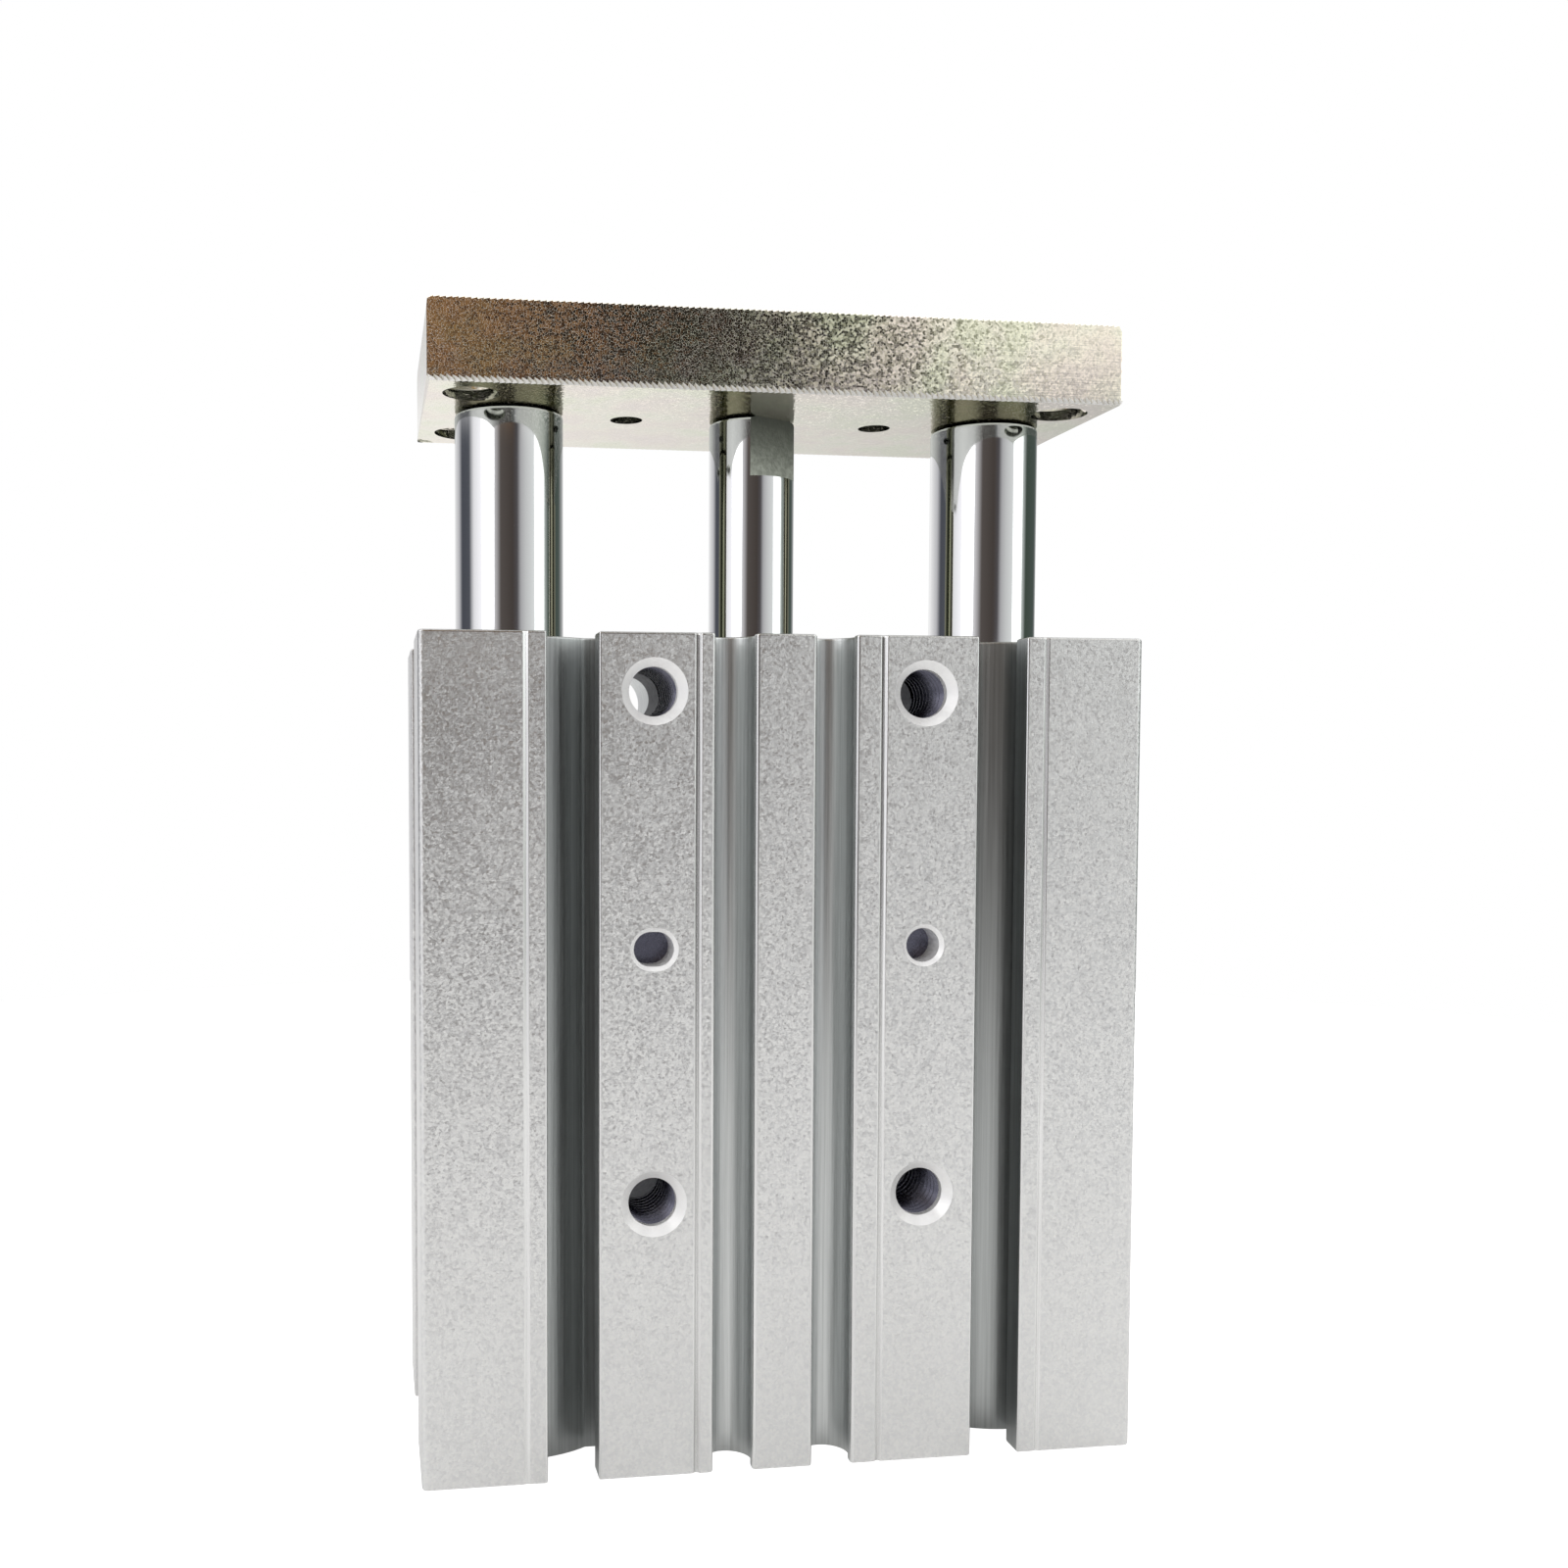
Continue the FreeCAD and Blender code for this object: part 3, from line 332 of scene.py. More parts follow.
def newMaterial(name, metallic=1.0, roughness=0.4, colour=(0.8, 0.8, 0.8)):
    material = bpy.data.materials.new(name)
    material.use_nodes = True
    tree = material.node_tree
    shader = tree.nodes["Principled BSDF"]
    shader.inputs["Metallic"].default_value = metallic
    shader.inputs["Roughness"].default_value = roughness
    shader.inputs["Base Color"].default_value = (*colour, 1)
    place = node(tree, "ShaderNodeTexCoord").outputs["Object"]
    return material, tree, shader, place


def between(tree, factor, low, high):
    return node(tree, "ShaderNodeMapRange", {0: factor, 1: 0.3, 2: 0.7, 3: low, 4: high}).outputs[0]


def bump(tree, shader, height, depth):
    made = node(tree, "ShaderNodeBump", {"Height": height, "Distance": depth * mm, "Strength": 1.0})
    tree.links.new(made.outputs[0], shader.inputs["Normal"])


def inMirrors(tree, colour, mirrored):
    # another colour where the surface is only seen in a polished one; it paints shade into the surface's
    # reflections
    rays = node(tree, "ShaderNodeLightPath").outputs
    return blendColours(tree, rays["Is Glossy Ray"], colour, mirrored)


def makeBlasted():
    # bead blasted and clear anodised: satin grey, with a dent from every bead
    material, tree, shader, place = newMaterial("blastedAnodised")
    grain = placeGroup(tree, grainGroup, {"Vector": place, "Size": 0.3, "Patch Size": 14.0})
    dents = placeGroup(tree, facetGroup, {"Vector": place, "Size": 0.22})
    dark, light = (0.72, 0.722, 0.73), (0.79, 0.79, 0.785)
    tree.links.new(blendColours(tree, dents[1], dark, light), shader.inputs["Base Color"])
    tree.links.new(between(tree, grain[1], 0.34, 0.4), shader.inputs["Roughness"])
    both = maths(tree, "ADD", dents[0], grain[0])
    bump(tree, shader, both, 0.034)
    return material


def makeDrawn(name, colour, roughness):
    # anodised as it left the die, with fine lines along the slot
    material, tree, shader, place = newMaterial(name)
    lines = placeGroup(tree, toolLineGroup, {"Vector": place, "Stretch": (1, 1, 0.01), "Width": 0.25})
    darker = tuple(part * 0.7 for part in colour)
    tree.links.new(blendColours(tree, between(tree, lines[0], 0.0, 1.0), darker, colour),
                   shader.inputs["Base Color"])
    tree.links.new(between(tree, lines[0], roughness, roughness + 0.08), shader.inputs["Roughness"])
    bump(tree, shader, lines[0], 0.014)
    return material


def makeNickel():
    # milled and nickel plated steel: warm, sparkling in small facets, tinted in faint patches, and painted
    # darker where another surface mirrors it, as painted shade in those reflections
    material, tree, shader, place = newMaterial("nickel")
    grain = placeGroup(tree, grainGroup, {"Vector": place, "Size": 0.4, "Patch Size": 5.0})
    facets = placeGroup(tree, facetGroup, {"Vector": place, "Size": 0.2, "Lean": (1, 1, 0.35)})
    lines = placeGroup(tree, toolLineGroup, {"Vector": place, "Stretch": (0.02, 1, 1), "Width": 0.3})
    tinted = ramp(tree, grain[1], [(0, (0.9, 0.8, 0.78)), (0.4, (0.92, 0.84, 0.76)),
                                   (0.48, (0.94, 0.88, 0.77)), (0.54, (0.93, 0.89, 0.78)),
                                   (0.63, (0.88, 0.88, 0.72))])
    dimmer = blendColours(tree, 1.0, tinted, (0.95, 0.95, 0.94), "MULTIPLY")
    colour = blendColours(tree, facets[1], dimmer, tinted)
    # painted shade: the plate shows this darker colour only where another surface mirrors it
    tree.links.new(inMirrors(tree, colour, (0.46, 0.48, 0.43)), shader.inputs["Base Color"])
    tree.links.new(between(tree, lines[0], 0.05, 0.08), shader.inputs["Roughness"])
    both = maths(tree, "ADD", facets[0], maths(tree, "MULTIPLY", lines[0], 0.3))
    bump(tree, shader, both, 0.014)
    return material


def makeChrome():
    material, tree, shader, place = newMaterial("hardChrome", roughness=0.06)
    lines = placeGroup(tree, toolLineGroup, {"Vector": place, "Stretch": (1, 1, 0.05), "Width": 0.4})
    # painted shade: the rods show a dark colour only where another surface mirrors them
    colour = inMirrors(tree, (0.9, 0.9, 0.905), (0.2, 0.2, 0.14))
    tree.links.new(colour, shader.inputs["Base Color"])
    tree.links.new(between(tree, lines[0], 0.045, 0.075), shader.inputs["Roughness"])
    bump(tree, shader, lines[0], 0.0006)
    return material


def makeMilled(name, colour, roughness, stretch=(1, 1, 0.03), width=0.2, depth=0.004):
    material, tree, shader, place = newMaterial(name, roughness=roughness, colour=colour)
    lines = placeGroup(tree, toolLineGroup, {"Vector": place, "Stretch": stretch, "Width": width})
    darker = tuple(part * 0.8 for part in colour)
    tree.links.new(blendColours(tree, between(tree, lines[0], 0.0, 1.0), darker, colour),
                   shader.inputs["Base Color"])
    tree.links.new(between(tree, lines[0], roughness - 0.05, roughness + 0.08), shader.inputs["Roughness"])
    bump(tree, shader, lines[0], depth)
    return material


def makeMoulded(name, colour, roughness, size=0.15, depth=0.004, metallic=0.0):
    material, tree, shader, place = newMaterial(name, metallic, roughness, colour)
    grain = placeGroup(tree, grainGroup, {"Vector": place, "Size": size, "Patch Size": 4.0})
    lighter = tuple(min(part * 1.25 + 0.01, 1.0) for part in colour)
    tree.links.new(blendColours(tree, between(tree, grain[0], 0.0, 1.0), colour, lighter),
                   shader.inputs["Base Color"])
    tree.links.new(between(tree, grain[1], roughness - 0.06, roughness + 0.06), shader.inputs["Roughness"])
    bump(tree, shader, grain[0], depth)
    return material


def makeFlat(colour, length):
    # a wrench flat, mottled, with painted shade that darkens it towards the plate that it is screwed against
    material, tree, shader, place = newMaterial("milledFlat", roughness=0.36)
    grain = placeGroup(tree, grainGroup, {"Vector": place, "Size": 0.5, "Patch Size": 2.0})
    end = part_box("piston_rod")[1].z
    height = node(tree, "ShaderNodeSeparateXYZ", {0: place}).outputs[2]
    # painted shade: full colour at the foot of the flat, fading to the dark colour at the rod's end under the
    # plate
    low = node(tree, "ShaderNodeMapRange",
               {0: height, 1: end - length * mm, 2: end, 3: 1.0, 4: 0.0}).outputs[0]
    shadeAndMottle = maths(tree, "MULTIPLY", low, between(tree, grain[0], 0.6, 1.2))
    dark = tuple(part * 0.28 for part in colour)
    tree.links.new(blendColours(tree, shadeAndMottle, dark, colour), shader.inputs["Base Color"])
    bump(tree, shader, grain[0], 0.03)
    return material


flatLength = 5.5  # mm of the piston rod's end

finishes = {
    "blasted": makeBlasted(),
    "sensorSlot": makeDrawn("drawnSensorSlot", (0.74, 0.76, 0.76), 0.3),
    # painted shade: the T-slots' copy of the drawn finish is darker than the sensor slots'
    "tSlot": makeDrawn("drawnTSlotShade", (0.55, 0.57, 0.57), 0.3),
    # painted highlight: the lips' and V-grooves' copy of the drawn finish is brighter than the slots'
    "lip": makeDrawn("drawnLipHighlight", (0.9, 0.9, 0.9), 0.2),
    "nickel": makeNickel(),
    # painted highlight: near-white chamfered mouths of the holes
    "mouth": makeMoulded("mouthHighlight", (0.98, 0.98, 0.99), 0.35, 0.2, 0.003, 0.4),
    # painted shade: a near-black bore behind each face thread
    "bored": makeMilled("boredWallShade", (0.05, 0.05, 0.065), 0.45, (1, 1, 1), 0.4),
    # painted highlight: the near-white teeth along the plate's lower front edge
    "tooth": makeMoulded("toothHighlight", (1.0, 0.98, 0.93), 0.4, 0.2, 0.003, 0.12),
    # painted shade: the darker notches between those teeth
    "gap": makeMoulded("notchShade", (0.56, 0.53, 0.46), 0.4, 0.2, 0.003, 0.5),
    "chrome": makeChrome(),
    "turned": makeMilled("turnedAluminium", (0.78, 0.78, 0.79), 0.28, (1, 1, 8), 0.12),
    "flat": makeFlat((0.36, 0.37, 0.33), flatLength),
    "bronze": makeMoulded("sinteredBronze", (0.55, 0.38, 0.2), 0.35, 0.12, 0.003, 1.0),
    "rubber": makeMoulded("rubber", (0.02, 0.02, 0.021), 0.5),
    "bumper": makeMoulded("bumperRubber", (0.06, 0.06, 0.062), 0.55),
    "spring": makeMilled("springSteel", (0.16, 0.16, 0.17), 0.35, (1, 1, 1), 0.3),
    "felt": makeMoulded("felt", (0.6, 0.56, 0.46), 0.9, 0.3, 0.05),
    "ferrite": makeMoulded("ferrite", (0.08, 0.08, 0.085), 0.6),
    "acetal": makeMoulded("acetal", (0.16, 0.12, 0.09), 0.45),
    "blackened": makeMoulded("blackOxide", (0.045, 0.045, 0.05), 0.36, 0.1, 0.002, 0.9),
    # painted shade: the dark walls and threads inside the holes
    "tapped": makeMilled("tappedWallShade", (0.13, 0.13, 0.17), 0.26, (1, 1, 1), 0.4),
}
print("finishes made:", len(finishes))


# ---- mesh helpers

def addPiece(name, mesh, body, cadNodes=()):
    piece = bpy.data.objects.new(name, mesh)
    bpy.context.scene.collection.objects.link(piece)
    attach(piece, body)
    if cadNodes:
        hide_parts(*cadNodes)
    return piece


def shadeByAngle(mesh, degrees):
    work = bmesh.new()
    work.from_mesh(mesh)
    for face in work.faces:
        face.smooth = True
    limit = math.radians(degrees)
    for edge in work.edges:
        edge.smooth = len(edge.link_faces) == 2 and edge.calc_face_angle(0) < limit
    work.to_mesh(mesh)
    work.free()


def held(mesh, name="holder"):
    holder = bpy.data.objects.new(name, mesh)
    bpy.context.scene.collection.objects.link(holder)
    return holder


def released(holder):
    # the holder's mesh after its modifiers, as plain geometry
    graph = bpy.context.evaluated_depsgraph_get()
    result = bpy.data.meshes.new_from_object(holder.evaluated_get(graph), depsgraph=graph)
    bpy.data.objects.remove(holder)
    return result


def finished(mesh, modifiers):
    holder = held(mesh)
    for kind, settings in modifiers:
        modifier = holder.modifiers.new(kind, kind)
        for key, setting in settings.items():
            setattr(modifier, key, setting)
    return released(holder)


def smoothed(mesh, degrees):
    # soft across small angles, with the broad faces kept flat
    shadeByAngle(mesh, degrees)
    return finished(mesh, [("WEIGHTED_NORMAL", {"keep_sharp": True, "weight": 90})])


def roundCorner(before, corner, after, radius, steps):
    # the points of an arc that rounds off one corner
    towards, away = (before - corner).normalized(), (after - corner).normalized()
    half = towards.angle(away) / 2
    reach = radius / math.tan(half)
    centre = corner + (towards + away).normalized() * (radius / math.sin(half))
    first, last = corner + towards * reach - centre, corner + away * reach - centre
    sweep = first.angle_signed(last)
    return [centre + Matrix.Rotation(-sweep * i / steps, 2) @ first for i in range(steps + 1)]


def roundedOutline(corners, steps=4):
    points = []
    count = len(corners)
    for index, (x, y, radius) in enumerate(corners):
        corner = Vector((x, y))
        if radius <= 0:
            points.append(corner)
            continue
        before = Vector(corners[index - 1][:2])
        after = Vector(corners[(index + 1) % count][:2])
        points += roundCorner(before, corner, after, radius, steps)
    return points


def arcPoints(centre, radius, first, last, steps):
    return [(centre[0] + radius * math.cos(a), centre[1] + radius * math.sin(a), 0)
            for a in (first + (last - first) * i / steps for i in range(steps + 1))]


def insetLoop(points, distance):
    # each point moved inwards, for an outline that runs counterclockwise
    moved = []
    count = len(points)
    for index, point in enumerate(points):
        before = (point - points[index - 1]).normalized()
        after = (points[(index + 1) % count] - point).normalized()
        normal = Vector((-before.y - after.y, before.x + after.x)).normalized()
        lean = max(normal.dot(Vector((-before.y, before.x))), 0.5)
        moved.append(point + normal * (distance / lean))
    return moved


def circlePoints(x, y, radius, steps, clockwise=False):
    sign = -1 if clockwise else 1
    return [Vector((x + radius * math.cos(sign * 2 * math.pi * i / steps),
                    y + radius * math.sin(sign * 2 * math.pi * i / steps))) for i in range(steps)]


def prism(loops, heights):
    # a bar with capped ends; each of its loops has one ring of points per height
    work = bmesh.new()
    for rings in loops:
        made = [[work.verts.new((p.x * mm, p.y * mm, z * mm)) for p in ring]
                for ring, z in zip(rings, heights)]
        for low, high in zip(made, made[1:]):
            count = len(low)
            for i in range(count):
                k = (i + 1) % count
                work.faces.new((low[i], low[k], high[k], high[i]))
    for end in (heights[0], heights[-1]):
        edges = [e for e in work.edges if len(e.link_faces) == 1
                 and all(abs(v.co.z - end * mm) < 1e-7 for v in e.verts)]
        bmesh.ops.triangle_fill(work, use_beauty=True, edges=edges)
    bmesh.ops.recalc_face_normals(work, faces=work.faces)
    return meshFrom(work, "bar")


def lathe(outline, steps=96, middle=(0.0, 0.0)):
    # a closed turned piece from (radius, height) corners in mm, on an upright axis
    work = bmesh.new()
    rings = []
    for radius, height in outline:
        if radius < 1e-6:
            rings.append([work.verts.new((middle[0] * mm, middle[1] * mm, height * mm))])
        else:
            rings.append([work.verts.new(((middle[0] + p.x) * mm, (middle[1] + p.y) * mm, height * mm))
                          for p in circlePoints(0, 0, radius, steps)])
    for low, high in zip(rings, rings[1:] + rings[:1]):
        for i in range(steps):
            k = (i + 1) % steps
            corners = [low[i % len(low)], low[k % len(low)], high[k % len(high)], high[i % len(high)]]
            distinct = list(dict.fromkeys(corners))
            if len(distinct) > 2:
                work.faces.new(distinct)
    bmesh.ops.recalc_face_normals(work, faces=work.faces)
    return meshFrom(work, "turned")


def joined(meshes):
    work = bmesh.new()
    for mesh in meshes:
        work.from_mesh(mesh)
    return meshFrom(work, "joined")


def moved(mesh, matrix):
    mesh.transform(matrix)
    return mesh


def cut(mesh, cutters, finish):
    # the cut faces get the finish as one more material of the mesh
    whole = joined(cutters)
    whole.materials.append(finishes[finish])
    tool = held(whole, "cutter")
    result = finished(mesh, [("BOOLEAN", {"object": tool, "operation": "DIFFERENCE", "solver": "EXACT",
                                          "material_mode": "TRANSFER"})])
    bpy.data.objects.remove(tool)
    return result


def paint(mesh, *names):
    mesh.materials.clear()
    for name in names:
        mesh.materials.append(finishes[name])


spread = 0.4  # mm that a cutter's cone rises above the face that it cuts


def fourWays(x, y):
    return [(side * x, way * y) for side in (-1, 1) for way in (-1, 1)]


def holeCutter(radius, depth, chamfer, steps=64):
    # a plug that cuts a hole going down from z = 0, with a chamfered mouth
    return lathe([(0, spread), (radius + chamfer + spread, spread), (radius + chamfer, 0),
                  (radius, -chamfer), (radius, -depth), (0, -depth)], steps)


def tappedMouth(radius, chamfer):
    # the mouth of a tapped hole: a cone down to the thread's crest, a short collar, the wall
    crest, collar = radius - threads["ridge"], threads["collar"]
    start = chamfer + threads["ridge"]
    return [(0, spread), (radius + chamfer + spread, spread), (crest, -start), (crest, -start - collar),
            (radius, -start - collar - threads["ridge"])]


def tappedCutter(radius, depth, chamfer, beyond=()):
    # a plug that cuts a tapped hole going down from z = 0, and what is bored beyond it
    below = [(r, -z) for r, z in beyond]
    last = below[-1][1] if below else -depth
    return lathe(tappedMouth(radius, chamfer) + [(radius, -depth)] + below + [(0, last)], 64)


def facing(axis):
    # turns +Z, the way a hole's mouth looks, to another axis
    return Vector((0, 0, 1)).rotation_difference(Vector(axis)).to_matrix().to_4x4()


def at(x, y, z):
    return Matrix.Translation(Vector((x, y, z)) * mm)


# ---- threads in tapped holes, as a Geometry Nodes tree

threads = {
    "pitch": 0.8, "ridge": 0.38, "bite": 0.03, "collar": 0.7, "runout": 0.6,  # mm
    "flankShare": 0.42, "crestShare": 0.06, "turnSteps": 40,
}
# how far below the mouth's chamfer a ridge starts
threadSink = 2 * threads["ridge"] + threads["collar"]


def makeThreadTree():
    # at each point a helical ridge that runs down a hole
    tree = bpy.data.node_groups.new("threads", "GeometryNodeTree")
    tree.interface.new_socket("Geometry", in_out="INPUT", socket_type="NodeSocketGeometry")
    for label in ("Radius", "Pitch", "Ridge", "Bite", "Length"):
        tree.interface.new_socket(label, in_out="INPUT", socket_type="NodeSocketFloat")
    tree.interface.new_socket("Turn Steps", in_out="INPUT", socket_type="NodeSocketInt")
    tree.interface.new_socket("Finish", in_out="INPUT", socket_type="NodeSocketMaterial")
    tree.interface.new_socket("Geometry", in_out="OUTPUT", socket_type="NodeSocketGeometry")
    given = tree.nodes.new("NodeGroupInput").outputs

    def times(first, second):
        return maths(tree, "MULTIPLY", first, second)

    crest = times(given["Ridge"], -1)
    flank, top = times(given["Pitch"], threads["flankShare"]), times(given["Pitch"], threads["crestShare"])
    spiral = node(tree, "GeometryNodeCurveSpiral",
                  {"Resolution": given["Turn Steps"], "Start Radius": given["Radius"],
                   "End Radius": given["Radius"], "Height": given["Length"],
                   "Rotations": maths(tree, "DIVIDE", given["Length"], given["Pitch"])})
    upright = node(tree, "GeometryNodeSetCurveNormal", {"Curve": spiral.outputs[0]}, mode="Z_UP")
    section = [(given["Bite"], times(flank, -1)), (crest, times(top, -1)), (crest, top),
               (given["Bite"], flank)]
    points = {f"Point {i + 1}": node(tree, "ShaderNodeCombineXYZ", {0: x, 1: y}).outputs[0]
              for i, (x, y) in enumerate(section)}
    profile = node(tree, "GeometryNodeCurvePrimitiveQuadrilateral", points, mode="POINTS")
    faced = node(tree, "GeometryNodeTransform", {"Geometry": profile.outputs[0], "Rotation": (0, 0, math.pi)})
    helix = node(tree, "GeometryNodeCurveToMesh", {"Curve": upright.outputs[0], "Fill Caps": True,
                                                   "Profile Curve": faced.outputs[0]})
    below = times(given["Length"], -1)
    lowered = node(tree, "GeometryNodeTransform",
                   {"Geometry": helix.outputs[0],
                    "Translation": node(tree, "ShaderNodeCombineXYZ", {2: below}).outputs[0]})
    copies = node(tree, "GeometryNodeInstanceOnPoints",
                  {"Points": given["Geometry"], "Instance": lowered.outputs[0]})
    real = node(tree, "GeometryNodeRealizeInstances", {0: copies.outputs[0]})
    painted = node(tree, "GeometryNodeSetMaterial",
                   {"Geometry": real.outputs[0], "Material": given["Finish"]})
    result = tree.nodes.new("NodeGroupOutput")
    tree.links.new(painted.outputs[0], result.inputs[0])
    return tree


threadTree = makeThreadTree()


def grown(mesh, tree, settings):
    # the mesh that a Geometry Nodes tree grows from this one
    holder = held(mesh)
    modifier = holder.modifiers.new("grow", "NODES")
    modifier.node_group = tree
    sockets = {item.name: item.identifier for item in tree.interface.items_tree if item.in_out == "INPUT"}
    for label, value in settings.items():
        modifier[sockets[label]] = value
    return released(holder)


def addThreads(name, places, axis, radius, depth, finish, body):
    # threads in holes this deep below their chamfer; the ridges start at places and look along axis
    turn = facing(axis)
    length = depth - threadSink - threads["runout"]
    mesh = bpy.data.meshes.new(name)
    mesh.from_pydata([turn.inverted() @ (Vector(place) * mm) for place in places], [], [])
    ridges = grown(mesh, threadTree, {
        "Radius": radius * mm, "Pitch": threads["pitch"] * mm, "Ridge": threads["ridge"] * mm,
        "Bite": threads["bite"] * mm, "Length": length * mm, "Turn Steps": threads["turnSteps"],
        "Finish": finishes[finish]})
    work = bmesh.new()
    work.from_mesh(ridges)
    bmesh.ops.recalc_face_normals(work, faces=work.faces)
    work.to_mesh(ridges)
    work.free()
    ridges.transform(turn)
    shadeByAngle(ridges, 30)
    addPiece(name, ridges, body)


# ---- the extruded body

extrusion = {  # mm
    "cornerRadius": 0.5,
    "endRound": 0.22,
    "edgeRound": 0.2, "innerRound": 0.15, "ceilingRound": 0.3, "floorRound": 0.4, "markRoot": 0.03,
    "mouthPaint": 1, "portReach": 2,
    "lipNormal": 0.985, "mouthNormal": 0.95,  # shares of a normal along y
    "sensorSteps": 22, "wallSteps": 14,  # steps of an arc
    "tSlotX": 19.0, "tMouth": 4.4, "tLip": 2.5, "tInside": 7.4, "tDepth": 6.7,
    "guideX": 23.0, "guideBore": 6.5, "guideWall": 3.7,
    "sensorFront": 4.45, "sensorShift": 0.5, "sensorBack": 5.25,
    "sensorRadius": 2.1, "sensorMouth": 3.5, "sensorDepth": 2.0,
    "lipRound": 0.32, "lipDepth": 0.35,
    "markInner": 8.2, "markInnerSize": (0.58, 0.27), "markOuter": 23.0, "markOuterSize": (0.46, 0.13),
    "recessHalf": 5.5, "recessDepth": 1.0,
    "bore": 8.0, "boreMouth": 0.6, "guideMouth": 0.5,
    "faceHoleX": 12.0, "faceHoleZ": (24.0, 68.0), "locatingZ": 46.0,
    "thread": 2.5, "faceChamfer": 0.37, "faceThreadDepth": 10.0,
    "throughHole": 2.15, "counterbore": 4.0, "counterboreDepth": 4.5,
    "relief": 3.0, "reliefDepth": 15.0,
    "locating": 1.5, "locatingSlot": 3.5, "locatingDepth": 3.0, "locatingChamfer": 0.35,
    "portZ": (8.0, 61.9), "portDepth": 5.0, "portChamfer": 0.4, "portPassage": 0.9,
    "rearHole": (28.0, 11.0), "rearDepth": 12.0, "rearChamfer": 0.3,
}


def halfOutline(e, halfWidth, halfDepth, shift):
    # the right half of the section, from the front centre round to the back centre
    face = -halfDepth
    r = e["sensorRadius"]

    def sensor(x, side):
        rise = math.asin((e["sensorMouth"] / 2) / r)
        middle = (x, side * (halfDepth - e["sensorDepth"]))
        half = e["sensorMouth"] / 2
        if side < 0:
            arc = arcPoints(middle, r, -math.pi / 2 - rise, -5 * math.pi / 2 + rise, e["sensorSteps"])
            return [(x - half, face, e["lipRound"])] + arc + [(x + half, face, e["lipRound"])]
        arc = arcPoints(middle, r, math.pi / 2 - rise, -3 * math.pi / 2 + rise, e["sensorSteps"])
        return [(x + half, -face, e["lipRound"])] + arc + [(x - half, -face, e["lipRound"])]

    edge = e["edgeRound"]

    def mark(x, width, depth):
        return [(x - width / 2, face, edge), (x, face + depth, e["markRoot"]), (x + width / 2, face, edge)]

    t, half, wide = e["tSlotX"], e["tMouth"] / 2, e["tInside"] / 2
    lip, floor = face + e["tLip"], face + e["tDepth"]
    wall = e["guideBore"] + e["guideWall"]
    first = math.asin(floor / wall)
    last = math.acos((t + wide - e["guideX"]) / wall)
    arc = arcPoints((e["guideX"], 0), wall, -math.pi - first, -last, e["wallSteps"])
    inner, ceiling = e["innerRound"], e["ceilingRound"]
    tSlot = [(t - half, face, edge), (t - half, lip, inner), (t - wide, lip, ceiling),
             (t - wide, floor, e["floorRound"])]
    tSlot += arc + [(t + wide, lip, ceiling), (t + half, lip, inner), (t + half, face, edge)]
    recess = halfWidth - e["recessDepth"]
    side = [(halfWidth, face, e["cornerRadius"]), (halfWidth, -e["recessHalf"], edge),
            (recess, -e["recessHalf"], edge), (recess, e["recessHalf"], edge),
            (halfWidth, e["recessHalf"], edge), (halfWidth, -face, e["cornerRadius"])]
    return (sensor(e["sensorFront"] + shift, -1) + mark(e["markInner"], *e["markInnerSize"]) + tSlot
            + mark(e["markOuter"], *e["markOuterSize"]) + side
            + sensor(e["sensorBack"], 1))


def makeBody(e):
    halfWidth, halfDepth, length = bodyHigh.x / mm, bodyHigh.y / mm, bodyHigh.z / mm
    right = halfOutline(e, halfWidth, halfDepth, -e["sensorShift"])
    left = halfOutline(e, halfWidth, halfDepth, e["sensorShift"])
    left = [(-x, y, radius) for x, y, radius in reversed(left)]
    outline = roundedOutline(right + left)
    small = e["endRound"]
    heights = [0, small * 0.3, small, length - small, length - small * 0.3, length]
    insets = [small, small * 0.3, 0, 0, small * 0.3, small]
    loops = [[insetLoop(outline, inset) for inset in insets]]
    guide = (e["guideBore"], e["guideMouth"])
    for x, radius, mouth in ((0, e["bore"], e["boreMouth"]), (-e["guideX"], *guide), (e["guideX"], *guide)):
        loops.append([circlePoints(x, 0, radius + grow, 96, clockwise=True)
                      for grow in (mouth, mouth * 0.5, 0, 0, mouth * 0.5, mouth)])
    return prism(loops, heights)


